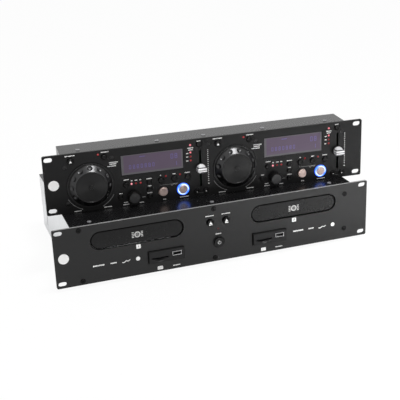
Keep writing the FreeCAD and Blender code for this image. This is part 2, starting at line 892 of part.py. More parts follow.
def deck_button(name, deck):
    x, z, diameter, proud = deck_buttons[name]
    behind = panel_thickness + (ring_back if name == "play" else 0)
    return plunger(deck + x, z, (-proud, behind + button_flange_gap), diameter, board_front)


def deck_cuts(deck):
    """Openings that one deck needs in the controller's panel."""
    through = (-over, panel_thickness + over)
    cuts = [rod(deck + jog_x, jog_z, through, jog_hole_d)]
    window_x = around(deck + display_x, display_width)
    cuts.append(box(window_x, through, around(display_z, display_height)))
    slot_x = around(deck + fader_x, fader_slot_width)
    cuts.append(box(slot_x, through, around(fader_z, fader_slot_length)))
    bush_hole = encoder_bush_d + 2 * encoder_gap
    cuts.append(rod(deck + encoder_x, encoder_z, through, bush_hole))
    cuts.append(rod(deck + ring_x, ring_z, through, ring_d + 2 * display_gap))
    for name, (x, z, diameter, _) in deck_buttons.items():
        if name != "play":
            cuts.append(rod(deck + x, z, through, diameter + 2 * button_gap))
    for x, z in deck_leds:
        cuts.append(rod(deck + x, z, through, led_hole_d))
    return cuts


def controller_front_panel():
    """Panel with a recess for each screw, so that the fader caps pass over."""
    through = (-over, panel_thickness + over)
    cuts = [rod(x, z, through, screw_hole_d) for x, z in controller_screws]
    recess = (-over, screw_recess_depth)
    cuts += [rod(x, z, recess, screw_recess_d) for x, z in controller_screws]
    for deck in decks.values():
        cuts += deck_cuts(deck)
    return panel_blank().cut(cuts)


def rim_reliefs():
    """Room in the case's front rim for the controls, and its screw holes."""
    through = (panel_thickness - over, panel_thickness + sheet + over)
    cuts = [rod(x, z, through, screw_hole_d) for x, z in controller_screws[:rim_screw_count]]
    for deck in decks.values():
        cuts.append(rod(deck + jog_x, jog_z, through, jog_hole_d))
        slot_x = around(deck + fader_x, fader_slot_width)
        cuts.append(box(slot_x, through, around(fader_z, fader_slot_length)))
        for x, z, diameter, _ in deck_buttons.values():
            cuts.append(rod(deck + x, z, through, diameter + 2 * (button_flange + button_gap)))
    return cuts


def controller_case():
    """Folded steel case, open at the front inside its rim."""
    half = case_width / 2
    shell = box((-half, half), (panel_thickness, case_back), (case_bottom, case_top))
    inside_z = (case_bottom + sheet, case_top - sheet)
    inside = box((-half + sheet, half - sheet), (panel_thickness + sheet, case_back - sheet), inside_z)
    front_x = (-half + case_rim, half - case_rim)
    front_z = (case_bottom + case_lip, case_top - case_lip)
    front = box(front_x, (panel_thickness - over, panel_thickness + sheet + over), front_z)
    rear = (case_back - sheet - over, case_back + over)
    ports = [rod(x, socket_z_low, rear, din_d + 2 * fit_gap) for x in din_places()]
    top = (case_top - sheet - over, case_top + over)
    holes = [post(x, case_screw_y, top, screw_hole_d) for x in case_screw_x]
    return shell.cut([inside, front] + rim_reliefs() + ports + holes)


def controller_screw_set():
    length = panel_screw_length - screw_recess_depth
    front = [screw(x, z, screw_recess_depth, length) for x, z in controller_screws]
    top = [cap_screw(x, case_screw_y, case_top, case_screw_length) for x in case_screw_x]
    return front + top


def display_module(deck):
    """Window set in the panel, with the display block behind it."""
    x = deck + display_x
    pane_x = around(x, display_width - 2 * display_gap)
    pane_z = around(display_z, display_height - 2 * display_gap)
    pane = box(pane_x, (display_recess, panel_thickness), pane_z)
    block_x = around(x, display_width + 2 * display_body_margin)
    block_z = around(display_z, display_height + display_body_margin / 2)
    block = box(block_x, (panel_thickness, panel_thickness + display_body_depth), block_z)
    return pane.fuse(block)


def play_ring(deck):
    """Light ring around the play button, flanged behind the panel."""
    outer = ring_d / 2
    bore = ring_bore_d / 2
    flange = ring_flange_d / 2
    back = panel_thickness + ring_back
    profile = [
        (bore, ring_bore_chamfer - ring_proud),
        (bore + ring_bore_chamfer, -ring_proud),
        (outer - ring_chamfer, -ring_proud),
        (outer, ring_chamfer - ring_proud),
        (outer, panel_thickness),
        (flange, panel_thickness),
        (flange, back),
        (bore, back),
    ]
    return turned(deck + ring_x, ring_z, profile)


def indicators():
    solids = []
    for deck in decks.values():
        for x, z in deck_leds:
            solids.append(rod(deck + x, z, (-led_proud, board_front), led_d))
        solids.append(play_ring(deck))
    return solids


def jog_wheel(deck, phase):
    """Turned wheel: lip, groove, dimpled cone and dished disc face."""
    x = deck + jog_x
    rim = jog_d / 2
    lip = rim - jog_lip_width
    cone = lip - jog_groove_width
    top = jog_cone_top_d / 2
    dish = top - 2 * jog_chamfer
    face = -jog_height
    bush_front = board_front - bush_length
    shaft = shaft_d / 2
    profile = [
        (0, face + jog_dish_depth - jog_cap_height),
        (jog_cap_d / 2 - jog_cap_chamfer, face + jog_dish_depth - jog_cap_height),
        (jog_cap_d / 2, face + jog_dish_depth),
        (dish - jog_dish_depth, face + jog_dish_depth),
        (dish, face),
        (top - jog_chamfer, face),
        (top, face + jog_chamfer),
        (cone, -jog_lip_proud),
        (cone, jog_groove_depth - jog_lip_proud),
        (lip, jog_groove_depth - jog_lip_proud),
        (lip, -jog_lip_proud),
        (rim, -jog_lip_proud),
        (rim, jog_back),
        (jog_hub_d / 2, jog_back),
        (jog_hub_d / 2, bush_front - thrust_gap),
        (shaft, bush_front - thrust_gap),
        (shaft, board_back),
        (0, board_back),
    ]
    wheel = turned(x, jog_z, profile)
    rise = jog_height - jog_chamfer - jog_lip_proud
    run = cone - top
    slant = math.hypot(rise, run)
    ball = (dimple_d ** 2 / 4 + dimple_depth ** 2) / (2 * dimple_depth)
    lift = ball - dimple_depth
    ball_radius = (cone + top) / 2 + lift * rise / slant
    ball_y = -(jog_lip_proud + rise / 2) - lift * run / slant
    dimples = []
    for index in range(dimple_count):
        angle = math.radians(phase + index * 360 / dimple_count)
        centre = V(x + ball_radius * math.cos(angle), ball_y, jog_z + ball_radius * math.sin(angle))
        dimples.append(Part.makeSphere(ball, centre))
    return wheel.cut(dimples)


def fader(deck):
    """Slider cap: round skirt, sloping dome and a grip bar, on its lever."""
    x = deck + fader_x
    base = -fader_cap_gap
    skirt_face = base - fader_skirt_height
    dome_face = base - fader_dome_height
    grip_face = base - fader_grip_height
    skirt = rod(x, fader_z, (skirt_face, base), fader_skirt_d)
    rim = [e for e in skirt.Edges if abs(e.BoundBox.YMax - skirt_face) < touch]
    skirt = skirt.makeChamfer(fader_skirt_height / 4, rim)
    low = fader_dome_d / 2
    high = fader_dome_top_d / 2
    dome = turned(x, fader_z, [(0, dome_face), (high, dome_face), (low, skirt_face), (0, skirt_face)])
    groove = fader_grip_length / 2 + fader_groove
    slope = [
        V(x - low, skirt_face, fader_z - low),
        V(x - low, dome_face, fader_z - groove),
        V(x - low, dome_face, fader_z + groove),
        V(x - low, skirt_face, fader_z + low),
    ]
    wedge = Part.Face(Part.makePolygon(slope + slope[:1])).extrude(V(2 * low, 0, 0))
    dome = dome.common(wedge)
    groove_y = (dome_face - over, dome_face + fader_groove)
    grooves = box((x - low, x + low), groove_y, around(fader_z, 2 * groove))
    grip_y = (grip_face, skirt_face)
    grip = box(around(x, fader_grip_width), grip_y, around(fader_z, fader_grip_length))
    edges = [e for e in grip.Edges if e.BoundBox.YMax < grip_face + touch]
    grip = grip.makeChamfer(fader_line_depth, edges)
    line_y = (grip_face - over, grip_face + fader_line_depth)
    line = box(around(x, fader_grip_width + 2 * over), line_y, around(fader_z, fader_line_width))
    lever_y = (base, board_front - fader_body_height + fader_lever_reach)
    lever = box(around(x, fader_lever_width), lever_y, around(fader_z, fader_lever_length))
    return dome.cut(grooves).fuse([skirt, grip, lever]).cut(line).removeSplitter()


def fader_body(deck):
    x = deck + fader_x
    length = 2 * fader_travel + fader_lever_length + 2 * fader_slot_play
    body_y = (board_front - fader_body_height, board_front)
    body = box(around(x, fader_body_width), body_y, around(fader_z, length + fader_body_margin))
    slot_x = around(x, fader_lever_width + 2 * fader_slot_play)
    slot_y = (body_y[0] - over, body_y[0] + fader_lever_reach + fader_slot_play)
    return body.cut(box(slot_x, slot_y, around(fader_z, length)))


def encoder_knob(deck):
    """Fluted knob with a socket over the encoder's bushing, and its shaft."""
    x = deck + encoder_x
    radius = encoder_knob_d / 2
    back = -encoder_knob_gap
    face = back - encoder_knob_height
    socket = encoder_bush_d / 2 + encoder_gap
    socket_end = back - encoder_socket_depth
    shaft = shaft_d / 2
    profile = [
        (0, face),
        (encoder_top_d / 2, face),
        (radius, face + encoder_shoulder),
        (radius, back),
        (socket, back),
        (socket, socket_end),
        (shaft, socket_end),
        (shaft, board_front - 2 * encoder_floor),
        (0, board_front - 2 * encoder_floor),
    ]
    knob = turned(x, encoder_z, profile)
    flute_y = (face + encoder_shoulder / 2, back + over)
    flutes = []
    for index in range(encoder_flute_count):
        angle = math.radians(index * 360 / encoder_flute_count)
        flute_x = x + radius * math.cos(angle)
        flute_z = encoder_z + radius * math.sin(angle)
        flutes.append(rod(flute_x, flute_z, flute_y, encoder_flute_d))
    return knob.cut(flutes)


def encoder_housing(deck):
    """Encoder body on the board with its threaded bushing through the panel."""
    x = deck + encoder_x
    body_y = (board_front - encoder_body_height, board_front)
    body = box(around(x, encoder_body), body_y, around(encoder_z, encoder_body))
    bushing = rod(x, encoder_z, (-encoder_bush_proud, body_y[0]), encoder_bush_d)
    bore_y = (-encoder_bush_proud - over, board_front - encoder_floor)
    bore = rod(x, encoder_z, bore_y, shaft_d + 2 * shaft_clearance)
    return body.fuse(bushing).cut(bore)


def jog_bush(deck):
    x = deck + jog_x
    bush = rod(x, jog_z, (board_front - bush_length, board_front), bush_d)
    return bush.cut(rod(x, jog_z, (0, board_back), shaft_d + 2 * shaft_clearance))


def key_switch(x, z, board_y):
    return box(around(x, switch_size), (board_y - switch_height, board_y), around(z, switch_size))


def panel_standoffs():
    """Threaded pillars for the screws that don't reach the case's rim."""
    pillars = []
    for x, z in controller_screws[rim_screw_count:]:
        pillar = rod(x, z, (panel_thickness, board_front), spacer_d)
        thread = rod(x, z, (0, panel_screw_length + over), screw_shank_d + 2 * shaft_clearance)
        pillars.append(pillar.cut(thread))
    return pillars


def controller_board():
    """Board behind the panel with its switches, faders, encoders and bushes."""
    half = case_width / 2 - board_margin
    board_z = (case_bottom + board_margin, case_top - board_margin)
    board = box((-half, half), (board_front, board_back), board_z)
    solids = []
    holes = []
    for deck in decks.values():
        hole_y = (board_front - over, board_back + over)
        holes.append(rod(deck + jog_x, jog_z, hole_y, shaft_d + 2 * board_hole_play))
        solids += [jog_bush(deck), encoder_housing(deck), fader_body(deck)]
        for x, z, _, _ in deck_buttons.values():
            solids.append(key_switch(deck + x, z, board_front))
    stands = []
    for x in (-half + spacer_d, 0, half - spacer_d):
        stands.append(rod(x, 0, (board_back, case_back - sheet), spacer_d))
    for x in din_places():
        solids.append(din_socket(x, board_back, (case_back - sheet, case_back)))
    return [board.cut(holes)] + solids + panel_standoffs() + stands


# -------------------------------------------------------------------- output
save("drive_front_panel", drive_front_panel())
save("drive_chassis", drive_chassis())
save("drive_top_cover", drive_top_cover())
save("drive_feet", drive_feet())
save("drive_screws", drive_screws())
save("drive_boards", drive_boards())
save("card_readers", card_readers())
save("power_switch", power_switch())
save("power_button", power_button())
save("rear_sockets", rear_sockets())
for side_name, side in sides.items():
    save(side_name + "_tray", tray(side * tray_x))
    save(side_name + "_tray_fascia", tray_fascia(side * tray_x))
    save(side_name + "_loader", loader_assembly(side * tray_x))
    save(side_name + "_drive_button", drive_open_button(side))

save("controller_front_panel", controller_front_panel(), controller_place)
save("controller_case", controller_case(), controller_place)
save("controller_screws", controller_screw_set(), controller_place)
save("controller_board", controller_board(), controller_place)
save("controller_indicators", indicators(), controller_place)
save("display_modules", [display_module(deck) for deck in decks.values()], controller_place)
for deck_name, deck in decks.items():
    save(deck_name + "_jog_wheel", jog_wheel(deck, dimple_phase[deck_name]), controller_place)
    save(deck_name + "_pitch_fader", fader(deck), controller_place)
    save(deck_name + "_encoder_knob", encoder_knob(deck), controller_place)
    for button_name in deck_buttons:
        save(deck_name + "_" + button_name + "_button", deck_button(button_name, deck), controller_place)
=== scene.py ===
import math
import random

import bmesh
import bpy
from mathutils import Matrix, Vector


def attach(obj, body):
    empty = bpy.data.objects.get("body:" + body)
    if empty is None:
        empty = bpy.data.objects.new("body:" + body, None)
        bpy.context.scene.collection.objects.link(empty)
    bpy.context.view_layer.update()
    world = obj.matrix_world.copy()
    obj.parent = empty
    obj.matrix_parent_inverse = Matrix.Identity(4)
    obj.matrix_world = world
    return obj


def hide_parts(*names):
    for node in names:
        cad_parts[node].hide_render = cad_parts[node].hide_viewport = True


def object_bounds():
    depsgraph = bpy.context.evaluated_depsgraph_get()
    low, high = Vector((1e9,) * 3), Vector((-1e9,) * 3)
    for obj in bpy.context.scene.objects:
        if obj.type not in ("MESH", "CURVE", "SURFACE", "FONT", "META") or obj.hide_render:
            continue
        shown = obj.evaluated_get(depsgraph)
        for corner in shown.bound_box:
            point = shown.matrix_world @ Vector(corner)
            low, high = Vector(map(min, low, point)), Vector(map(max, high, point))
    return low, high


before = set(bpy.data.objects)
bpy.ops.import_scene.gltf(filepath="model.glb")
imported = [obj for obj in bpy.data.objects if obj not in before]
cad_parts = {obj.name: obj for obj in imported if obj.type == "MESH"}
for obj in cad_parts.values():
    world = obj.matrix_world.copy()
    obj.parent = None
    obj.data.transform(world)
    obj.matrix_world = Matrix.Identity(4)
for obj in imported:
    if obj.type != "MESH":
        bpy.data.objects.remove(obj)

MM = 0.001
size_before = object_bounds()
rng = random.Random(7)

# ------------------------------------------------------------------ layout, mm
# The controller's panel centre on the player, and its turn about the vertical.
CONTROLLER = (5.0, 44.0, 87.7)
TURN = math.radians(-3.5)
DECKS = {"left": -107.7, "right": 107.7}
SIDES = {"left": -1, "right": 1}
# The player's panel: its top, the strip below it that is painted paler as a highlight, and the y
# range of its openings' walls, which are painted as shade.
PANEL_TOP = 44.25
TOP_HIGHLIGHT_STRIP = 0.15
OPENING_WALLS = (0.4, 5.0)
# Where the chassis' front rim ends; the rim is painted black as shade.
FRONT_RIM_BACK = 4.4
# Values of y past every piece, to close a zone in front, in front of a cap, and behind.
IN_FRONT = -5.0
BEFORE_CAPS = -40.0
BEHIND = 300.0

# Indicator lamps of a deck: x, z and how brightly each is lit.
LEDS = (
    (-54.3, 38.2, 0.5),
    (80.1, 35.8, 0.9),
    (80.1, 24.6, 0.9),
    (80.1, 18.4, 0.35),
    (80.1, 12.4, 0.4),
    (-9.2, -11.8, 1.0),
    (-2.6, -11.8, 0.3),
    (4.2, -11.8, 0.45),
    (41.9, -6.7, 0.3),
    (63.1, -6.7, 0.35),
)
LED_RADIUS = 1.35

# Push buttons of a deck.
CAPS = (
    "open", "single", "pitch", "time", "upper_bank", "middle_bank", "lower_bank", "search",
    "bend_minus", "bend_plus", "loop_in", "loop_out", "reloop", "cue", "play",
)
METAL_CAPS = ("cue", "play")
CAP_FACE = -2.2
OPEN_FACE = -2.6

# Places of a deck's controls as x and z, radii from a wheel's centre, and faces as y.
JOG = (-68.5, -5.7)
JOG_DISC_RADIUS = 22.7
# Outer radius of a paler ring round the disc, a painted highlight on its chamfer.
JOG_HIGHLIGHT_RADIUS = 23.4
JOG_FOOT_RADIUS = 29.5
JOG_LIP = (31.7, 32.8)
JOG_OUTSIDE = 60.0
JOG_GROOVE_PITCH = 0.9
JOG_GROOVE_HEIGHT = 0.07
# Two arcs beside a wheel, with their angles, and the arrowheads at their ends.
JOG_SCALE_RADIUS = 37.4
JOG_SCALE_ARCS = ((208, 246), (-29, -62.5))
JOG_SCALE_WIDTH = 0.6
JOG_ARROWS = ((-83.6, -39.9, 1), (-50.8, -39.3, -1))
FADER = (94.2, -1.1)
FADER_SKIRT_FACE = -3.05
# Painted shade in the grooves of a fader cap, as distances up or down from its middle.
FADER_GROOVE_SHADE = ((2.8, 4.0), (-1.0, 0.45))
# The printed arc below a fader: z, radius, two angles and width.
FADER_ARC = (-31.0, 8.5, 215, 325, 0.3)
KNOB = (-7.8, -29.9)
KNOB_FACE = -11.7
RING = (66.6, -29.6)
DISPLAY = (23.1, 17.2)
DISPLAY_HALF = (46.5, 15.8)
DISPLAY_BORDER = 1.1
DISPLAY_OVERLAP = 1.0
# The lit field of a display: its middle, measured from the window's, and its half size.
FIELD_SHIFT = (0.6, 0.8)
FIELD_HALF = (42.5, 12.6)

# Printed words of a deck, drawn as plain bars: x, z and length.
LABELS = (
    (-94.2, 41.0, 14.0), (-44.5, 40.9, 11.0), (-33.1, 24.2, 12.5), (-34.1, 21.7, 9.5),
    (-35.9, 18.8, 12.5), (-16.3, -4.7, 8.0), (-8.7, -7.0, 2.4), (-2.1, -6.9, 4.2),
    (4.3, -6.9, 2.8), (17.0, -7.1, 8.0), (17.1, -18.1, 4.8), (17.2, -28.9, 7.6),
    (34.3, -4.4, 2.0), (54.1, -4.7, 4.4), (74.0, -5.1, 7.8), (-25.5, -24.6, 5.0),
    (-19.2, -38.8, 6.0), (-18.9, -42.2, 8.8), (3.8, -41.9, 5.7), (38.2, -42.0, 4.6),
    (67.8, -41.9, 13.0), (80.2, 31.4, 8.4), (80.2, 28.6, 6.5), (75.2, 23.6, 3.0),
    (75.0, 18.3, 3.0), (74.8, 12.3, 3.0), (92.8, 40.5, 5.8), (-89.1, -42.5, 10.6),
    (-45.2, -41.9, 11.7),
)
LABEL_HEIGHT = 1.35
# The pitch scale: a column of dots, and a larger one below it.
SCALE_X = 106.0
SCALE_TOP = 25.4
SCALE_PITCH = 2.95
SCALE_COUNT = 17
SCALE_DOT = (1.2, 0.9)
SCALE_END = 1.6
SCALE_END_DROP = 1.4
# A line and a wave below the loop buttons, and a small word beside the knob.
LOOP_LINE = ((33, -18.4), (33, -19.6), (56, -19.6), (56, -18.4))
LOOP_LINE_WIDTH = 0.4
LOOP_WAVE = ((48.6, -20.6), (50.6, -22.0), (53.0, -19.6), (56.0, -20.8), (58.6, -19.2))
LOOP_WAVE_WIDTH = 0.9
KNOB_WORD = (7.8, -34.0, 5.0, 1.1)
# Figures of a display: x, z, height and bar width; and its word: x, z, length and height.
TIME_DIGITS = [("0" if index % 3 == 0 else "8", -9.6 + index * 5.7, 13.6, 6.0, 0.75)
               for index in range(7)]
OTHER_DIGITS = (
    ("0", 52.4, 22.6, 7.4, 0.9), ("8", 58.4, 22.6, 7.4, 0.9), ("1", 57.4, 11.2, 7.0, 0.9),
)
DISPLAY_WORD = (9.1, 27.6, 8.4, 1.4)
# A round badge at the left end of each panel.
BADGE = (-228.0, 0.0)
BADGE_RADIUS = 7.6

# Screws of the two panels as x and z, of the case as x, of the player's cover as x and y.
CONTROLLER_SCREWS = (
    (-210.0, 24.9), (-210.0, -30.0), (209.0, 28.4), (-142.8, 31.6), (-0.7, 34.8), (71.8, 31.0),
)
CASE_SCREWS = (-188.0, -73.0, -3.0, 88.0, 188.0)
CASE_SCREW_Y = 17.0
DRIVE_SCREWS = (
    (-203.7, 38.5), (-203.7, -38.5), (-5.9, 38.5), (-5.9, -38.5), (203.7, 28.0), (203.7, -28.0),
)
COVER_SCREWS = (
    (-185.0, 14.5), (-3.0, 14.5), (185.0, 14.5), (-185.0, 233.0), (-3.0, 233.0), (185.0, 233.0),
)
CASE_TOP = 43.05
COVER_TOP = 43.45
SCREW_RECESS = 1.4
SCREW_RADIUS = 2.9
DRIVE_SCREW_RADIUS = 3.7

# The player's pieces: x and z on its right-hand side; the left side has -x.
TRAY = (120.5, 18.2)
# A tray front is a straight part with round ends; past this radius its edge is painted near black
# as shade.
TRAY_STRAIGHT = 54.6
TRAY_SHADED_EDGE = 11.6
TRAY_OUTSIDE = 20.0
# Heights on a tray front, from its middle, between which a painted reflection makes it paler.
TRAY_REFLECTION_SPAN = (6.0, -12.0)
READER_X = 80.3
READER_Z = -20.4
READER_BLOCK_HALF = (27.6, 10.0)
READER_FACE_HALF = (25.9, 8.3)
# The socket in each reader: x from the reader's middle, and z.
USB = (15.4, -18.8)
USB_OUTER_HALF = (6.72, 2.97)
USB_INNER_HALF = (6.15, 2.42)
DRIVE_BUTTON = (12.2, 18.2)
DRIVE_BUTTON_FACE = -3.6
# Where on the boards and the rear sockets a second finish begins or ends.
SOCKET_START = 80.0
PHONO_X = (56.0, 96.0)
PHONO_START = 245.3
STATUS_LAMP_BACK = 12.0
POWER_Z = -14.0
POWER_FACE = -4.2
POWER_LINE = 0.65
FASCIA_FACE = 1.4
DISPLAY_FACE = 0.6
# Words of the player: x, z, length and height. EJECT_WORD is mirrored.
POWER_WORD = (0.0, -1.4, 9.0, 1.5)
EJECT_WORD = (12.5, 28.3, 13.0)
# A row of marks below each tray: where it starts, from the tray's middle, and what it holds.
ROW_START = {"left": -59.0, "right": 6.6}
ROW_WORDS = ((0.0, -18.8, 16.5, 2.2), (21.4, -18.8, 8.6, 2.0))
ROW_WAVE_X = 39.8
ROW_WAVE = ((-6, -20.4), (-3, -21.0), (0, -18.6), (3, -19.6), (6, -17.9))
ROW_WAVE_WIDTH = 1.1
ROW_DOT = (57.3, -18.5, 3.1)
# Below each reader, with x from its middle: a card mark and a word.
READER_MARK = (-9.8, -39.0, 8.0, 5.4, 1.0)
READER_WORD = (15.0, -39.0, 11.0, 1.5)
# A patch with a number below each tray, and the number's own place and size.
NUMBER_PATCH = (120.4, 0.0, 6.6, 6.4, 0.8)
NUMBERS = (("1", -120.9, 0.0, 4.0, 0.8), ("2", 120.4, 0.0, 4.0, 0.8))
# The disc mark of a tray front: rings (radius, width, steps), with four bars on each side.
ICON_RINGS = ((3.6, 2.0, 28), (1.3, 0.45, 16))
ICON_BARS_X = (-6.7, 6.7)
ICON_BARS_Z = (-3.6, -1.2, 1.2, 3.6)
ICON_BAR = (3.0, 1.2)


def on_drive(x, y, z):
    """A place on the player, in metres."""
    return Vector((x, y, z)) * MM


def on_controller(x, y, z):
    """A place on the turned controller, in metres."""
    turned = Matrix.Rotation(TURN, 3, "Z") @ Vector((x, y, z))
    return (turned + Vector(CONTROLLER)) * MM


# ------------------------------------------------------------- material nodes
def node(tree, kind, **inputs):
    """A node with some of its inputs set; an underscore stands for a space."""
    made = tree.nodes.new(kind)
    for name, value in inputs.items():
        made.inputs[name.replace("_", " ")].default_value = value
    return made


def local_place(tree, place=(0.0, 0.0, 0.0), turn=0.0):
    """Coordinates measured from a place on the object, in metres."""
    coords = tree.nodes.new("ShaderNodeTexCoord")
    mapping = tree.nodes.new("ShaderNodeMapping")
    mapping.vector_type = "TEXTURE"
    mapping.inputs["Location"].default_value = place
    mapping.inputs["Rotation"].default_value = (0.0, 0.0, turn)
    tree.links.new(coords.outputs["Object"], mapping.inputs["Vector"])
    return mapping.outputs["Vector"]


def axes(tree, place=(0, 0, 0), turn=0.0):
    """The three coordinates of local_place(), each as an output."""
    split = tree.nodes.new("ShaderNodeSeparateXYZ")
    tree.links.new(local_place(tree, place, turn), split.inputs["Vector"])
    return split.outputs["X"], split.outputs["Y"], split.outputs["Z"]


def maths(tree, operation, a, b=None, c=None):
    """The output of a maths node; its arguments are numbers or outputs."""
    made = tree.nodes.new("ShaderNodeMath")
    made.operation = operation
    for index, value in enumerate((a, b, c)):
        if value is None:
            continue
        if isinstance(value, (int, float)):
            made.inputs[index].default_value = value
        else:
            tree.links.new(value, made.inputs[index])
    return made.outputs["Value"]


def mixed(tree, factor, first, second):
    """Colour mix; first and second are colours or colour outputs."""
    made = tree.nodes.new("ShaderNodeMix")
    made.data_type = "RGBA"
    tree.links.new(factor, made.inputs["Factor"])
    for name, value in (("A", first), ("B", second)):
        socket = [s for s in made.inputs if s.name == name and s.type == "RGBA"][0]
        if isinstance(value, tuple):
            socket.default_value = (*value, 1.0)
        else:
            tree.links.new(value, socket)
    return [s for s in made.outputs if s.type == "RGBA"][0]


def ranged(tree, value, low, high, start=0.0, end=1.0):
    """Runs from low to high while the value runs from start to end."""
    made = node(tree, "ShaderNodeMapRange", To_Min=low, To_Max=high, From_Min=start, From_Max=end)
    tree.links.new(value, made.inputs["Value"])
    return made.outputs["Result"]


def radius_of(tree, x, z):
    """Distance from a Y line, in metres."""
    squared = maths(tree, "MULTIPLY_ADD", x, x, maths(tree, "MULTIPLY", z, z))
    return maths(tree, "SQRT", squared)


def within(tree, value, low, high):
    """1 where the value, in metres, lies between two values in mm."""
    return maths(tree, "COMPARE", value, (low + high) / 2 * MM, (high - low) / 2 * MM)


def patch(tree, x, z, middle, half):
    """1 inside a rectangle given in mm."""
    across = within(tree, x, middle[0] - half[0], middle[0] + half[0])
    up = within(tree, z, middle[1] - half[1], middle[1] + half[1])
    return maths(tree, "MULTIPLY", across, up)


def framed(tree, x, z, middle, outer, inner):
    """1 between two rectangles that share a middle."""
    whole = patch(tree, x, z, middle, outer)
    return maths(tree, "SUBTRACT", whole, patch(tree, x, z, middle, inner))


def shade(colour, factor):
    return tuple(c * factor for c in colour)


def add_height(tree, height, strength, distance):
    """Adds a bump to whatever normal the shader already has."""
    shader = tree.nodes["Principled BSDF"]
    bump = node(tree, "ShaderNodeBump", Strength=strength, Distance=distance)
    tree.links.new(height, bump.inputs["Height"])
    if shader.inputs["Normal"].is_linked:
        tree.links.new(shader.inputs["Normal"].links[0].from_socket, bump.inputs["Normal"])
    tree.links.new(bump.outputs["Normal"], shader.inputs["Normal"])


BROAD_TO_FINE = 12
BROAD_SHARE = 0.4
FINE_SHARE = 0.6
ROUGH_SPAN = (0.86, 1.14)
GRAIN_HEIGHT = 0.0002


def material(name, colour, rough, metallic=0.0, specular=0.5, scale=400.0, vary=0.12,
             grain=0.0, aniso=0.0, glow=None, strength=0.0, place=(0, 0, 0), turn=0.0):
    """A principled finish whose colour and roughness vary over the surface."""
    made = bpy.data.materials.new(name)
    made.use_nodes = True
    tree = made.node_tree
    shader = tree.nodes["Principled BSDF"]
    where = local_place(tree, place, turn)
    broad = node(tree, "ShaderNodeTexNoise", Scale=scale / BROAD_TO_FINE, Detail=3.0)
    fine = node(tree, "ShaderNodeTexNoise", Scale=scale, Detail=4.0)
    for noise in (broad, fine):
        tree.links.new(where, noise.inputs["Vector"])
    share = maths(tree, "MULTIPLY", fine.outputs["Fac"], FINE_SHARE)
    value = maths(tree, "MULTIPLY_ADD", broad.outputs["Fac"], BROAD_SHARE, share)
    base = mixed(tree, value, shade(colour, 1 - vary), shade(colour, 1 + vary))
    tree.links.new(base, shader.inputs["Base Color"])
    roughness = ranged(tree, value, rough * ROUGH_SPAN[0], min(rough * ROUGH_SPAN[1], 1.0))
    tree.links.new(roughness, shader.inputs["Roughness"])
    shader.inputs["Metallic"].default_value = metallic
    shader.inputs["Specular IOR Level"].default_value = specular
    if glow:
        shader.inputs["Emission Color"].default_value = (*glow, 1.0)
        shader.inputs["Emission Strength"].default_value = strength
    if grain:
        add_height(tree, fine.outputs["Fac"], grain, GRAIN_HEIGHT)
    if aniso:
        tangent = tree.nodes.new("ShaderNodeTangent")
        tangent.direction_type = "RADIAL"
        tangent.axis = "Y"
        tree.links.new(tangent.outputs["Tangent"], shader.inputs["Tangent"])
        shader.inputs["Anisotropic"].default_value = aniso
    return made


def second_finish(made, mask, colour, rough=None, metallic=None):
    """Where the mask output is 1, the finish changes to this one."""
    tree = made.node_tree
    shader = tree.nodes["Principled BSDF"]
    old = shader.inputs["Base Color"].links[0].from_socket
    tree.links.new(mixed(tree, mask, old, colour), shader.inputs["Base Color"])
    if rough is not None:
        old = shader.inputs["Roughness"].links[0].from_socket
        rest = maths(tree, "MULTIPLY", old, maths(tree, "SUBTRACT", 1.0, mask))
        tree.links.new(maths(tree, "MULTIPLY_ADD", mask, rough, rest), shader.inputs["Roughness"])
    if metallic is not None:
        socket = shader.inputs["Metallic"]
        start = socket.links[0].from_socket if socket.is_linked else socket.default_value
        rest = maths(tree, "MULTIPLY", start, maths(tree, "SUBTRACT", 1.0, mask))
        tree.links.new(maths(tree, "MULTIPLY_ADD", mask, metallic, rest), socket)


def give(made, *names):
    """Puts a finish on CAD pieces."""
    for name in names:
        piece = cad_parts[name]
        piece.data.materials.clear()
        piece.data.materials.append(made)


# ------------------------------------------------------------------- finishes
def panel_finish():
    """Powder coat with a fine grain, with painted shade on the walls of its openings and a
    painted highlight along its top edge.
    """
    made = material("grey_panel", (0.0060, 0.0060, 0.0063), 0.44, specular=0.38, scale=1400,
                    vary=0.22, grain=0.35)
    tree = made.node_tree
    _, y, z = axes(tree)
    # The walls of the openings are painted near black as shade.
    second_finish(made, within(tree, y, *OPENING_WALLS), (0.0015, 0.0015, 0.0015), 0.7)
    # The panel's top face and the strip just below it are painted paler as a highlight.
    edge = within(tree, z, PANEL_TOP - TOP_HIGHLIGHT_STRIP, PANEL_TOP + 1)
    second_finish(made, edge, (0.24, 0.24, 0.24), 0.4)
    return made


def zinc_finish():
    """Bright zinc sheet with faint crystals; its front rim, behind the panel, is painted black as
    shade seen through the gaps.
    """
    made = material("zinc_sheet", (0.76, 0.77, 0.78), 0.38, metallic=0.85, scale=260, vary=0.10)
    tree = made.node_tree
    crystals = node(tree, "ShaderNodeTexVoronoi", Scale=140.0)
    tree.links.new(local_place(tree), crystals.inputs["Vector"])
    split = tree.nodes.new("ShaderNodeSeparateColor")
    tree.links.new(crystals.outputs["Color"], split.inputs["Color"])
    second_finish(made, maths(tree, "MULTIPLY", split.outputs["Red"], 0.12), (0.40, 0.41, 0.42))
    _, y, _ = axes(tree)
    # The front rim is painted black as shade seen through the gaps round the trays.
    rim = within(tree, y, IN_FRONT, FRONT_RIM_BACK)
    second_finish(made, rim, (0.004, 0.004, 0.004), 0.5, 0.0)
    return made


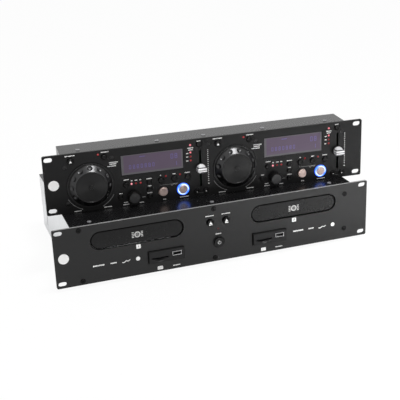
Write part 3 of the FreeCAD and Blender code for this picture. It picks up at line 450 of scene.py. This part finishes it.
def reader_finish():
    """Moulded blocks whose edges are painted near black as shade; a metal shell lines each
    socket.
    """
    made = material("reader_plastic", (0.005, 0.005, 0.0055), 0.34, specular=0.28, scale=900,
                    grain=0.05)
    tree = made.node_tree
    x, _, z = axes(tree)
    for side in SIDES.values():
        middle = (side * READER_X, READER_Z)
        # The block's sides and chamfer are painted near black as shade.
        edge = framed(tree, x, z, middle, READER_BLOCK_HALF, READER_FACE_HALF)
        second_finish(made, edge, (0.0008, 0.0008, 0.0008), 0.8)
        middle = (side * READER_X + USB[0], USB[1])
        shell = framed(tree, x, z, middle, USB_OUTER_HALF, USB_INNER_HALF)
        second_finish(made, shell, (0.92, 0.92, 0.93), 0.30, 0.3)
    return made


def board_finish(name, black_from=None):
    """Green board with lighter tracks; black sockets behind, a red lamp in front."""
    made = material(name, (0.006, 0.030, 0.014), 0.42, scale=500, vary=0.3)
    tree = made.node_tree
    _, y, _ = axes(tree)
    tracks = node(tree, "ShaderNodeTexBrick", Scale=240.0, Mortar_Size=0.05)
    tree.links.new(local_place(tree), tracks.inputs["Vector"])
    second_finish(made, tracks.outputs["Fac"], (0.012, 0.060, 0.026))
    if black_from:
        second_finish(made, within(tree, y, black_from, BEHIND), (0.014, 0.014, 0.015), 0.4)
    lamp = within(tree, y, IN_FRONT, STATUS_LAMP_BACK)
    second_finish(made, lamp, (0.060, 0.004, 0.005), 0.25)
    return made


def socket_finish():
    """Black plastic; the phono barrels are plated."""
    made = material("socket_plastic", (0.02, 0.02, 0.021), 0.4, scale=500)
    tree = made.node_tree
    x, y, _ = axes(tree)
    across = within(tree, x, *PHONO_X)
    barrels = maths(tree, "MULTIPLY", across, within(tree, y, PHONO_START, BEHIND))
    second_finish(made, barrels, (0.62, 0.60, 0.52), 0.25, 0.9)
    return made


def window_finish():
    """Smoked window: violet over the lit field, greyer toward its edge."""
    place = tuple(on_controller(0, 0, 0))
    made = material("display_glass", (0.110, 0.105, 0.115), 0.22, specular=0.12, scale=60,
                    vary=0.05, place=place, turn=TURN)
    tree = made.node_tree
    x, _, z = axes(tree, place, TURN)
    inner = [half - DISPLAY_BORDER for half in DISPLAY_HALF]
    outer = [half + DISPLAY_OVERLAP for half in DISPLAY_HALF]
    for deck in DECKS.values():
        middle = (deck + DISPLAY[0], DISPLAY[1])
        lit = (middle[0] + FIELD_SHIFT[0], middle[1] + FIELD_SHIFT[1])
        second_finish(made, patch(tree, x, z, lit, FIELD_HALF), (0.102, 0.076, 0.112))
        border = framed(tree, x, z, middle, outer, inner)
        second_finish(made, border, (0.010, 0.010, 0.011))
    return made


def jog_finish(deck_name, deck):
    """Turned plastic: dull foot, pale lip, glossy cone, a painted highlight ring round the disc,
    and a dark disc with fine grooves.
    """
    place = tuple(on_controller(deck + JOG[0], 0, JOG[1]))
    made = material(deck_name + "_jog_plastic", (0.052, 0.052, 0.053), 0.30, metallic=1.0,
                    specular=0.27, scale=600, vary=0.1, place=place, turn=TURN)
    tree = made.node_tree
    x, _, z = axes(tree, place, TURN)
    radius = radius_of(tree, x, z)
    for low, high, colour, rough in (
        (JOG_FOOT_RADIUS, JOG_OUTSIDE, (0.002, 0.002, 0.002), 0.45),
        (*JOG_LIP, (0.022, 0.022, 0.023), 0.3),
        # The ring out to this radius is painted paler as a highlight on the disc's chamfer.
        (-1, JOG_HIGHLIGHT_RADIUS, (0.040, 0.040, 0.041), 0.3),
        (-1, JOG_DISC_RADIUS, (0.004, 0.004, 0.0042), 0.28),
    ):
        second_finish(made, within(tree, radius, low, high), colour, rough, 0.0)
    groove = maths(tree, "MULTIPLY", radius, 2 * math.pi / (JOG_GROOVE_PITCH * MM))
    on_disc = within(tree, radius, -1, JOG_DISC_RADIUS)
    height = maths(tree, "MULTIPLY", maths(tree, "SINE", groove), on_disc)
    add_height(tree, height, 0.7, JOG_GROOVE_HEIGHT * MM)
    return made


def fader_finish(deck_name, deck):
    """Black skirt, silver cap with painted shade in the grooves along and beside its grip."""
    place = tuple(on_controller(deck + FADER[0], 0, FADER[1]))
    made = material(deck_name + "_fader_silver", (0.010, 0.010, 0.011), 0.35, scale=500,
                    place=place, turn=TURN)
    tree = made.node_tree
    _, y, z = axes(tree, place, TURN)
    cap = within(tree, y, BEFORE_CAPS, FADER_SKIRT_FACE)
    second_finish(made, cap, (0.66, 0.66, 0.67), 0.32, 0.25)
    away = maths(tree, "ABSOLUTE", z)
    # The grooves are painted dark as shade.
    line = maths(tree, "ADD", *(within(tree, away, *span) for span in FADER_GROOVE_SHADE))
    second_finish(made, maths(tree, "MULTIPLY", line, cap), (0.012, 0.012, 0.012), 0.4, 0.0)
    return made


def tray_front_finish():
    """Gloss black with a painted reflection that makes it paler downward, and an edge painted
    near black as shade.
    """
    made = material("fascia_gloss", (0.002, 0.002, 0.0022), 0.28, specular=0.24, scale=500,
                    vary=0.1)
    tree = made.node_tree
    x, _, z = axes(tree, (0, 0, TRAY[1] * MM))
    # Painted reflection: paler toward the bottom.
    lower = ranged(tree, z, 0.0, 0.5, *(height * MM for height in TRAY_REFLECTION_SPAN))
    second_finish(made, lower, (0.008, 0.008, 0.0084))
    across = maths(tree, "SUBTRACT", maths(tree, "ABSOLUTE", x), TRAY[0] * MM)
    past = maths(tree, "SUBTRACT", maths(tree, "ABSOLUTE", across), TRAY_STRAIGHT * MM)
    radius = radius_of(tree, maths(tree, "MAXIMUM", past, 0.0), z)
    # The edge is painted near black as shade in the gap round the tray front.
    edge = within(tree, radius, TRAY_SHADED_EDGE, TRAY_OUTSIDE)
    second_finish(made, edge, (0.0004, 0.0004, 0.0004), 0.9)
    return made


def knob_finish(deck_name, deck):
    """Black side, dark grey face."""
    place = tuple(on_controller(deck + KNOB[0], 0, KNOB[1]))
    made = material(deck_name + "_knob_plastic", (0.003, 0.003, 0.003), 0.36, specular=0.3,
                    scale=700, place=place, turn=TURN)
    tree = made.node_tree
    _, y, _ = axes(tree, place, TURN)
    second_finish(made, within(tree, y, BEFORE_CAPS, KNOB_FACE), (0.026, 0.026, 0.027), 0.4)
    return made


black_panel = material("black_panel", (0.0028, 0.0028, 0.0030), 0.44, specular=0.22, scale=1400,
                       vary=0.2, grain=0.25)
black_cover = material("black_cover", (0.005, 0.005, 0.0054), 0.27, specular=0.44, scale=300,
                       vary=0.06)
black_screw = material("black_screw", (0.0010, 0.0010, 0.0010), 0.22, specular=0.16, scale=800)
grey_screw = material("grey_screw", (0.0045, 0.0045, 0.0046), 0.30, specular=0.40, scale=800)
pale_screw = material("pale_screw", (0.27, 0.27, 0.28), 0.34, metallic=0.3, scale=800)
caps_finish = material("button_plastic", (0.0015, 0.0015, 0.0016), 0.34, specular=0.18, scale=900)
metal_cap = material("metal_cap", (0.45, 0.35, 0.32), 0.34, metallic=0.9, scale=500, aniso=0.7)
print_white = material("print_white", (0.92, 0.92, 0.91), 0.5, scale=900, vary=0.08)
print_pale = material("print_pale", (0.62, 0.62, 0.61), 0.5, scale=900, vary=0.1)
print_grey = material("print_grey", (0.24, 0.24, 0.24), 0.5, scale=900, vary=0.1)
print_dark = material("print_dark", (0.02, 0.02, 0.02), 0.5, scale=900, vary=0.1)
digit_glow = material("display_digits", (0.05, 0.04, 0.12), 0.4, scale=400,
                      glow=(0.34, 0.25, 1.0), strength=0.12)
switch_ring = material("switch_ring", (0.0012, 0.0012, 0.0013), 0.16, specular=0.22, scale=700)
switch_cap = material("switch_cap", (0.004, 0.004, 0.0044), 0.26, specular=0.30, scale=700)
foot_rubber = material("foot_rubber", (0.02, 0.02, 0.02), 0.8, scale=700, grain=0.2)
loader_plastic = material("loader_plastic", (0.05, 0.05, 0.052), 0.5, scale=500, grain=0.1)
tray_plastic = material("tray_plastic", (0.020, 0.020, 0.022), 0.42, scale=700, grain=0.15)
fascia_finish = tray_front_finish()

give(panel_finish(), "drive_front_panel")
give(black_panel, "controller_front_panel")
give(black_cover, "controller_case", "drive_top_cover")
give(zinc_finish(), "drive_chassis")
give(foot_rubber, "drive_feet")
give(board_finish("circuit_board"), "drive_boards")
give(board_finish("controller_circuit_board", SOCKET_START), "controller_board")
give(reader_finish(), "card_readers")
give(switch_ring, "power_switch")
give(switch_cap, "power_button")
give(socket_finish(), "rear_sockets")
give(window_finish(), "display_modules")
for name in SIDES:
    give(loader_plastic, name + "_loader")
    give(tray_plastic, name + "_tray")
    give(fascia_finish, name + "_tray_fascia")
    give(caps_finish, name + "_drive_button")
for deck_name, deck in DECKS.items():
    give(jog_finish(deck_name, deck), deck_name + "_jog_wheel")
    give(fader_finish(deck_name, deck), deck_name + "_pitch_fader")
    give(knob_finish(deck_name, deck), deck_name + "_encoder_knob")
    for cap in CAPS:
        give(metal_cap if cap in METAL_CAPS else caps_finish, deck_name + "_" + cap + "_button")


# -------------------------------------------------------------- printed shapes
CORNER_STEPS = 4


def rect(x, z, width, height, corner=0.0):
    """A rectangle, or one with round corners of that radius."""
    if not corner:
        w, h = width / 2, height / 2
        return [(x - w, z - h), (x + w, z - h), (x + w, z + h), (x - w, z + h)]
    points = []
    for sx, sz, start in ((1, 1, 0), (-1, 1, 90), (-1, -1, 180), (1, -1, 270)):
        cx, cz = x + sx * (width / 2 - corner), z + sz * (height / 2 - corner)
        for step in range(CORNER_STEPS + 1):
            angle = math.radians(start + step * 90 / CORNER_STEPS)
            points.append((cx + corner * math.cos(angle), cz + corner * math.sin(angle)))
    return points


def disc(x, z, radius, count=28):
    turn = [2 * math.pi * i / count for i in range(count)]
    return [(x + radius * math.cos(a), z + radius * math.sin(a)) for a in turn]


def stroke(points, width):
    """Quads along a line of points."""
    shapes = []
    for (ax, az), (bx, bz) in zip(points, points[1:]):
        length = math.hypot(bx - ax, bz - az)
        nx, nz = (az - bz) / length * width / 2, (bx - ax) / length * width / 2
        first = [(ax - nx, az - nz), (bx - nx, bz - nz)]
        shapes.append(first + [(bx + nx, bz + nz), (ax + nx, az + nz)])
    return shapes


def arc(x, z, radius, first, last, width, steps=18):
    """Quads along a circle, from one angle to another in degrees."""
    points = []
    for i in range(steps + 1):
        angle = math.radians(first + (last - first) * i / steps)
        points.append((x + radius * math.cos(angle), z + radius * math.sin(angle)))
    return stroke(points, width)


BAR_WIDTHS = (0.7, 1.7)
BAR_LOWERED = (0.0, 0.0, 0.25)
BAR_GAP = 0.32
SHORTEST_BAR = 0.5


def dashes(x, z, length, height=LABEL_HEIGHT):
    """A row of short bars of uneven width, in place of a printed word."""
    shapes = []
    at = x - length / 2
    end = x + length / 2
    while at < end - SHORTEST_BAR:
        width = min(rng.uniform(*BAR_WIDTHS), end - at)
        low = rng.choice(BAR_LOWERED)
        shapes.append(rect(at + width / 2, z + low / 2, width, height - low))
        at += width + BAR_GAP
    return shapes


# Bars of a seven-bar digit: across and up, in halves of its size, and if it lies flat.
SEGMENTS = {
    "a": (0, 1, True), "b": (0.5, 0.5, False), "c": (0.5, -0.5, False), "d": (0, -1, True),
    "e": (-0.5, -0.5, False), "f": (-0.5, 0.5, False), "g": (0, 0, True),
}
DIGITS = {"0": "abcdef", "1": "bc", "2": "abged", "8": "abcdefg"}
DIGIT_WIDTH = 0.52
DIGIT_OVERLAP = 0.3


def digit(sign, x, z, height, bar):
    """A seven-bar digit about (x, z)."""
    half = height / 2 - bar / 2
    wide = height * DIGIT_WIDTH - bar
    shapes = []
    for key in DIGITS[sign]:
        sx, sz, flat = SEGMENTS[key]
        if flat:
            shapes.append(rect(x, z + sz * half, wide, bar))
        else:
            shapes.append(rect(x + sx * wide, z + sz * half, bar, half - bar * DIGIT_OVERLAP))
    return shapes


def linked(name, mesh, finish):
    """A mesh as an object of the scene, with its finish."""
    mesh.materials.append(finish)
    piece = bpy.data.objects.new(name, mesh)
    bpy.context.scene.collection.objects.link(piece)
    return piece


# How far printed shapes stand in front of their face, and reach behind it.
PRINT_PROUD = 0.03
PRINT_SUNK = 0.05


def printed(name, shapes, place, body, finish, face=0.0):
    """Thin raised shapes on a face at that y; their outlines are in x and z."""
    bm = bmesh.new()
    for shape in shapes:
        rows = []
        for depth in (face - PRINT_PROUD, face + PRINT_SUNK):
            rows.append([bm.verts.new(place(x, depth, z)) for x, z in shape])
        bm.faces.new(rows[0])
        bm.faces.new(list(reversed(rows[1])))
        for i in range(len(shape)):
            j = (i + 1) % len(shape)
            bm.faces.new((rows[0][i], rows[1][i], rows[1][j], rows[0][j]))
    bmesh.ops.recalc_face_normals(bm, faces=bm.faces)
    mesh = bpy.data.meshes.new(name)
    bm.to_mesh(mesh)
    bm.free()
    piece = linked(name, mesh, finish)
    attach(piece, body)
    return piece


def deck_words(deck):
    """Printed words and the pitch scale of one deck."""
    shapes = []
    for x, z, length in LABELS:
        shapes += dashes(deck + x, z, length)
    for step in range(SCALE_COUNT):
        shapes.append(rect(deck + SCALE_X, SCALE_TOP - step * SCALE_PITCH, *SCALE_DOT))
    end = SCALE_TOP - SCALE_COUNT * SCALE_PITCH - SCALE_END_DROP
    shapes.append(rect(deck + SCALE_X, end, SCALE_END, SCALE_END))
    return shapes


def deck_lines(deck):
    """Thin lines that tie the words of one deck to its controls."""
    shapes = []
    for start, end in JOG_SCALE_ARCS:
        shapes += arc(deck + JOG[0], JOG[1], JOG_SCALE_RADIUS, start, end, JOG_SCALE_WIDTH)
    for x, z, lean in JOG_ARROWS:
        tip = (deck + x + lean * 2.4, z - 0.4)
        shapes.append([(deck + x, z + 1.2), (deck + x, z - 1.2), tip])
    shapes += stroke([(deck + x, z) for x, z in LOOP_LINE], LOOP_LINE_WIDTH)
    shapes += stroke([(deck + x, z) for x, z in LOOP_WAVE], LOOP_WAVE_WIDTH)
    shapes += dashes(deck + KNOB_WORD[0], *KNOB_WORD[1:])
    shapes += arc(deck + FADER[0], *FADER_ARC)
    return shapes


words, lines = [], []
for deck in DECKS.values():
    words += deck_words(deck)
    lines += deck_lines(deck)
badge = [disc(*BADGE, BADGE_RADIUS)]
printed("controller_print", words, on_controller, "controller", print_white)
printed("controller_lines", lines, on_controller, "controller", print_grey)
printed("controller_badge", badge, on_controller, "controller", print_white)

# On the player: a word above the power switch and above each eject button; two words, a wave
# and a dot below each tray; a card mark and a word below each reader; patches for numbers.
words = dashes(*POWER_WORD)
for side_name, side in SIDES.items():
    row = side * TRAY[0] + ROW_START[side_name]
    for x, z, length, height in ROW_WORDS:
        words += dashes(row + x, z, length, height)
    words += stroke([(row + ROW_WAVE_X + x, z) for x, z in ROW_WAVE], ROW_WAVE_WIDTH)
    words.append(disc(row + ROW_DOT[0], *ROW_DOT[1:]))
    words.append(rect(side * READER_X + READER_MARK[0], *READER_MARK[1:]))
    words += dashes(side * READER_X + READER_WORD[0], *READER_WORD[1:])
    words += dashes(side * EJECT_WORD[0], *EJECT_WORD[1:])
    words.append(rect(side * NUMBER_PATCH[0], *NUMBER_PATCH[1:]))
printed("drive_print", words, on_drive, "drive", print_white)
printed("drive_badge", badge, on_drive, "drive", print_white)
numbers = [shape for number in NUMBERS for shape in digit(*number)]
printed("drive_numbers", numbers, on_drive, "drive", print_dark, -PRINT_PROUD)

for side_name, side in SIDES.items():
    cx, cz = side * TRAY[0], TRAY[1]
    icon = []
    for radius, width, steps in ICON_RINGS:
        icon += arc(cx, cz, radius, 0, 360, width, steps)
    for dx in ICON_BARS_X:
        icon += [rect(cx + dx, cz + dz, *ICON_BAR) for dz in ICON_BARS_Z]
    printed(side_name + "_tray_icon", icon, on_drive, side_name + "_tray",
            print_pale, FASCIA_FACE)
    tx, tz = side * DRIVE_BUTTON[0], DRIVE_BUTTON[1]
    arrow = [(tx - 2.6, tz - 1.3), (tx + 2.6, tz - 1.3), (tx, tz + 3.0)]
    mark = [arrow, rect(tx, tz - 2.6, 5.2, 1.3)]
    button = side_name + "_drive_button"
    printed(button + "_mark", mark, on_drive, button, print_white,
            DRIVE_BUTTON_FACE)
icon = arc(0, POWER_Z, 2.2, 125, 415, POWER_LINE, 20)
icon += stroke([(0, POWER_Z + 0.5), (0, POWER_Z + 2.8)], POWER_LINE)
printed("power_button_mark", icon, on_drive, "power_button", print_white, POWER_FACE)

digits = []
for deck in DECKS.values():
    for sign, x, z, height, bar in (*TIME_DIGITS, *OTHER_DIGITS):
        digits += digit(sign, deck + x, z, height, bar)
    digits += dashes(deck + DISPLAY_WORD[0], *DISPLAY_WORD[1:])
printed("display_digits", digits, on_controller, "controller", digit_glow,
        DISPLAY_FACE)

for deck_name, deck in DECKS.items():
    marks = {
        "open": ([[(-96.0, 31.3), (-92.0, 31.3), (-94.0, 34.8)]], OPEN_FACE),
        "bend_minus": ([rect(87.3, -36.6, 1.6, 0.7)], CAP_FACE),
        "bend_plus": ([rect(101.1, -36.6, 1.9, 0.7), rect(101.1, -36.6, 0.7, 1.9)], CAP_FACE),
    }
    for cap, (shapes, face) in marks.items():
        button = deck_name + "_" + cap + "_button"
        moved = [[(deck + x, z) for x, z in shape] for shape in shapes]
        printed(button + "_mark", moved, on_controller, button, print_white, face)


# ------------------------------------------------------------- turned pieces
def lathe(bm, profile, place, count=36):
    """A surface turned about a Y line; profile gives (radius, y) from front to back."""
    rings = []
    for radius, depth in profile:
        if radius < 1e-6:
            rings.append([bm.verts.new(place(0, depth, 0))])
            continue
        turn = [2 * math.pi * i / count for i in range(count)]
        round_it = [(radius * math.cos(a), radius * math.sin(a)) for a in turn]
        rings.append([bm.verts.new(place(x, depth, z)) for x, z in round_it])
    for first, second in zip(rings, rings[1:]):
        for i in range(count):
            j = (i + 1) % count
            if len(first) == 1:
                bm.faces.new((first[0], second[i], second[j]))
            elif len(second) == 1:
                bm.faces.new((first[i], second[0], first[j]))
            else:
                bm.faces.new((first[i], second[i], second[j], first[j]))


def finished(name, bm, body, finish, smooth=40.0):
    """Makes a smooth object that rides a body; edges past that angle stay sharp."""
    bmesh.ops.recalc_face_normals(bm, faces=bm.faces)
    mesh = bpy.data.meshes.new(name)
    bm.to_mesh(mesh)
    bm.free()
    for face in mesh.polygons:
        face.use_smooth = True
    mesh.set_sharp_from_angle(angle=math.radians(smooth))
    piece = linked(name, mesh, finish)
    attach(piece, body)
    return piece


def cross_screw(bm, place, length, outer):
    """A domed head with a cross recess, on its shank; the head stands toward -Y."""
    height, depth, arm, reach, shank = 1.3, 0.75, 0.42, 1.55, 1.45
    dome_drop, edge, floor_share, floor_drop = 0.45, 0.6, 0.8, 0.2
    count = 32
    turns = [2 * math.pi * (i + 0.5) / count for i in range(count)]
    outline = [(math.cos(a), math.sin(a)) for a in turns]

    def cross_radius(c, s):
        along, beside = max(abs(c), abs(s)), min(abs(c), abs(s))
        return reach / along if beside * reach <= arm * along else arm / beside

    def dome(radius):
        return -height + dome_drop * (radius / outer) ** 2

    cross = [(cross_radius(c, s) * c, cross_radius(c, s) * s) for c, s in outline]
    floor = bm.verts.new(place(0, -height + depth + floor_drop, 0))
    lower = [(x * floor_share, z * floor_share) for x, z in cross]
    rows = [[bm.verts.new(place(x, -height + depth, z)) for x, z in lower]]
    rows.append([bm.verts.new(place(x, dome(math.hypot(x, z)), z)) for x, z in cross])
    rims = [(share * outer, dome(share * outer)) for share in (0.62, 0.81, 0.95)]
    for radius, y in rims + [(outer, -edge), (outer, 0.0), (shank, 0.0), (shank, length)]:
        rows.append([bm.verts.new(place(radius * c, y, radius * s)) for c, s in outline])
    end = bm.verts.new(place(0, length, 0))
    for i in range(count):
        j = (i + 1) % count
        bm.faces.new((floor, rows[0][i], rows[0][j]))
        for first, second in zip(rows, rows[1:]):
            bm.faces.new((first[i], second[i], second[j], first[j]))
        bm.faces.new((rows[-1][i], end, rows[-1][j]))


def screws(name, to_row, seats, body, finish, length, tilt=0, radius=SCREW_RADIUS):
    """Screws at their seats, with their heads forward, or up where tilt is -90."""
    bm = bmesh.new()
    lean = Matrix.Rotation(math.radians(tilt), 3, "X")
    for seat in seats:
        turn = lean @ Matrix.Rotation(rng.uniform(0, math.pi), 3, "Y")

        def placed(x, y, z):
            return to_row(*(turn @ Vector((x, y, z)) + Vector(seat)))

        cross_screw(bm, placed, length, radius)
    return finished(name, bm, body, finish, smooth=35.0)


seats = [(x, 0.0, z) for x, z in DRIVE_SCREWS]
front = screws("drive_panel_screws", on_drive, seats, "drive", black_screw,
               length=7.0, radius=DRIVE_SCREW_RADIUS)
seats = [(x, y, COVER_TOP) for x, y in COVER_SCREWS]
screws("drive_cover_screws", on_drive, seats, "drive", pale_screw, length=5.0, tilt=-90)
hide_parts("drive_screws")
seats = [(x, SCREW_RECESS, z) for x, z in CONTROLLER_SCREWS]
front = screws("controller_panel_screws", on_controller, seats, "controller", grey_screw,
               length=5.6)
seats = [(x, CASE_SCREW_Y, CASE_TOP) for x in CASE_SCREWS]
screws("controller_case_screws", on_controller, seats, "controller", pale_screw,
       length=4.0, tilt=-90)
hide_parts("controller_screws")


# ------------------------------------------------------------ lamps and rings
def lamp_finish(light):
    """Red lamp; the brightest ones turn pale."""
    pale = light ** 3
    glow = (1.0, 0.03 + 0.34 * pale, 0.04 + 0.38 * pale)
    return material("lamp_%d" % (light * 100), (0.10, 0.004, 0.005), 0.25, scale=600,
                    glow=glow, strength=0.03 + 1.05 * light ** 2)


# Radii of a light ring between which its blue deepens, and its white inner edge fades.
RING_DEEPENS = (7.6, 9.3)
RING_WHITE_ENDS = (7.7, 8.4)
# The weights of x and z in how far a point leans to the upper right, and where white grows.
RING_LEAN = (60.0, 80.0)
RING_WHITE_GROWS = (0.10, 0.55)
RING_STRENGTH = 4.5


def ring_finish(deck_name, deck):
    """Light ring: blue, deeper outward; white along two arcs of its inner edge."""
    place = tuple(on_controller(deck + RING[0], 0, RING[1]))
    made = material(deck_name + "_ring_light", (0.10, 0.16, 0.40), 0.25, scale=300,
                    place=place, turn=TURN)
    tree = made.node_tree
    shader = tree.nodes["Principled BSDF"]
    x, _, z = axes(tree, place, TURN)
    radius = radius_of(tree, x, z)
    rim = ranged(tree, radius, 0.0, 1.0, *(r * MM for r in RING_DEEPENS))
    lean = maths(tree, "MULTIPLY", x, RING_LEAN[0])
    lean = maths(tree, "ABSOLUTE", maths(tree, "MULTIPLY_ADD", z, RING_LEAN[1], lean))
    inner = ranged(tree, radius, 1.0, 0.0, *(r * MM for r in RING_WHITE_ENDS))
    share = maths(tree, "MULTIPLY", ranged(tree, lean, 0.0, 1.0, *RING_WHITE_GROWS), inner)
    glow = mixed(tree, rim, (0.006, 0.10, 0.75), (0.0, 0.012, 0.16))
    glow = mixed(tree, share, glow, (0.24, 0.30, 0.42))
    tree.links.new(glow, shader.inputs["Emission Color"])
    shader.inputs["Emission Strength"].default_value = RING_STRENGTH
    return made


# Sections of a lamp and of a light ring: radius and y.
LAMP = [
    (0, -0.6), (0.55, -0.56), (0.95, -0.42), (1.25, -0.16), (LED_RADIUS, 0.1),
    (LED_RADIUS, 8.0), (0, 8.0),
]
RING_SECTION = [
    (6.9, 6.0), (6.9, -1.2), (7.3, -1.6), (8.3, -1.6), (8.9, -1.3), (9.3, -0.8), (9.3, 3.0),
    (11.0, 3.0), (11.0, 6.0), (6.9, 6.0),
]
lights = {light: lamp_finish(light) for light in sorted({led[2] for led in LEDS})}
for deck_name, deck in DECKS.items():
    for index, (x, z, light) in enumerate(LEDS):
        bm = bmesh.new()
        lathe(bm, LAMP, lambda a, b, c: on_controller(deck + x + a, b, z + c), count=20)
        finished("%s_lamp_%d" % (deck_name, index), bm, "controller", lights[light])
    bm = bmesh.new()
    lathe(bm, RING_SECTION, lambda a, b, c: on_controller(deck + RING[0] + a, b, RING[1] + c),
          count=56)
    ring = finished(deck_name + "_ring", bm, "controller",
                    ring_finish(deck_name, deck), smooth=50.0)
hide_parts("controller_indicators")


# ----------------------------------------------------------------------- stage
WHITE = (1.0, 1.0, 1.0, 1.0)
FLOOR_HALF = 6.0
# Strength of the world's light in front and behind, and the Y of the view between them.
WORLD_LIGHT = (0.42, 1.0, -0.7, 0.4)
# Places and targets in metres, width, height, power in watts, spread in degrees.
SOFTBOXES = {
    "top_box": ((0.25, -0.27, 1.7), (0.1, 0.0, 0.05), 0.62, 0.3, 20.0, 180.0),
    "right_box": ((0.95, -1.0, 0.14), (0.2, 0.0, 0.0), 0.55, 0.3, 0.8, 180.0),
    "floor_box": ((0.38, -0.38, 0.60), (0.34, -0.31, -0.05), 0.25, 0.2, 2.5, 60.0),
}


def seen_share(tree, share, mirrored):
    """How much plain white shows: to the camera and through glass, and in reflections."""
    path = tree.nodes.new("ShaderNodeLightPath").outputs
    direct = maths(tree, "MAXIMUM", path["Is Camera Ray"], path["Is Transmission Ray"])
    reflected = maths(tree, "MULTIPLY", path["Is Glossy Ray"], mirrored)
    return maths(tree, "MAXIMUM", maths(tree, "MULTIPLY", direct, share), reflected)


def blended(tree, share, lit, plain, surface):
    """Links an output node to two shaders; a share of 1 shows the plain one alone."""
    mix = tree.nodes.new("ShaderNodeMixShader")
    tree.links.new(share, mix.inputs[0])
    tree.links.new(lit.outputs[0], mix.inputs[1])
    tree.links.new(plain.outputs[0], mix.inputs[2])
    tree.links.new(mix.outputs[0], surface.inputs["Surface"])


def stage_white(name, share, mirrored):
    """Pale diffuse, lifted toward plain white where it is seen or reflected."""
    made = bpy.data.materials.new(name)
    made.use_nodes = True
    tree = made.node_tree
    tree.nodes.clear()
    out = tree.nodes.new("ShaderNodeOutputMaterial")
    matte = node(tree, "ShaderNodeBsdfDiffuse", Color=(0.82, 0.82, 0.82, 1.0))
    plain = node(tree, "ShaderNodeEmission", Color=WHITE, Strength=1.0)
    blended(tree, seen_share(tree, share, mirrored), matte, plain, out)
    return made


def floor(height, half):
    """A square floor at that height."""
    corners = [(x * half, y * half, height) for x, y in ((-1, -1), (1, -1), (1, 1), (-1, 1))]
    mesh = bpy.data.meshes.new("floor")
    mesh.from_pydata(corners, [], [(0, 1, 2, 3)])
    linked("floor", mesh, stage_white("floor_white", 0.93, 0.4))


def studio_world():
    """White where it is seen or reflected; as a light, brighter behind the object."""
    world = bpy.data.worlds.new("studio")
    bpy.context.scene.world = world
    world.use_nodes = True
    tree = world.node_tree
    tree.nodes.clear()
    out = tree.nodes.new("ShaderNodeOutputWorld")
    coords = tree.nodes.new("ShaderNodeTexCoord")
    split = tree.nodes.new("ShaderNodeSeparateXYZ")
    tree.links.new(coords.outputs["Generated"], split.inputs["Vector"])
    soft = node(tree, "ShaderNodeBackground", Color=WHITE)
    tree.links.new(ranged(tree, split.outputs["Y"], *WORLD_LIGHT), soft.inputs["Strength"])
    plain = node(tree, "ShaderNodeBackground", Color=WHITE, Strength=1.0)
    blended(tree, seen_share(tree, 1.0, 1.0), soft, plain, out)


def softbox(name, place, target, width, height, power, spread):
    """A rectangular light that faces its target."""
    lamp = bpy.data.lights.new(name, "AREA")
    lamp.shape = "RECTANGLE"
    lamp.size = width
    lamp.size_y = height
    lamp.energy = power
    lamp.spread = math.radians(spread)
    piece = bpy.data.objects.new(name, lamp)
    piece.location = place
    piece.rotation_euler = (Vector(target) - Vector(place)).to_track_quat("-Z", "Y").to_euler()
    bpy.context.scene.collection.objects.link(piece)


floor(size_before[0][2], FLOOR_HALF)
studio_world()
for name, settings in SOFTBOXES.items():
    softbox(name, *settings)


# ---------------------------------------------------------------------- camera
def add_camera(place, yaw, pitch, roll, focal_pixels, frame_pixels=400.0, sensor=36.0):
    """Angles in degrees: yaw toward +X from +Y, pitch downward, roll about the view."""
    yaw, pitch, roll = (math.radians(a) for a in (yaw, pitch, roll))
    level = math.cos(pitch)
    forward = Vector((math.sin(yaw) * level, math.cos(yaw) * level, -math.sin(pitch)))
    right = Vector((math.cos(yaw), -math.sin(yaw), 0.0))
    up = right.cross(forward)
    across = math.cos(roll) * right + math.sin(roll) * up
    upward = -math.sin(roll) * right + math.cos(roll) * up
    view = bpy.data.cameras.new("camera")
    view.sensor_width = sensor
    view.lens = focal_pixels * sensor / frame_pixels
    camera = bpy.data.objects.new("camera", view)
    turned = Matrix((across, upward, -forward)).transposed()
    camera.matrix_world = Matrix.Translation(Vector(place) * MM) @ turned.to_4x4()
    bpy.context.scene.collection.objects.link(camera)
    bpy.context.scene.camera = camera


# Fitted to the rack slots, the panel corners and the tray mouths; its place is in mm.
add_camera((-411.9, -1172.6, 534.3), yaw=18.217, pitch=21.206, roll=-2.319, focal_pixels=929.26)
bpy.context.scene.view_settings.view_transform = "Standard"
# A fresh Blender file holds these two.
for leftover in ("Cube", "Light"):
    if leftover in bpy.data.objects:
        bpy.data.objects.remove(bpy.data.objects[leftover])
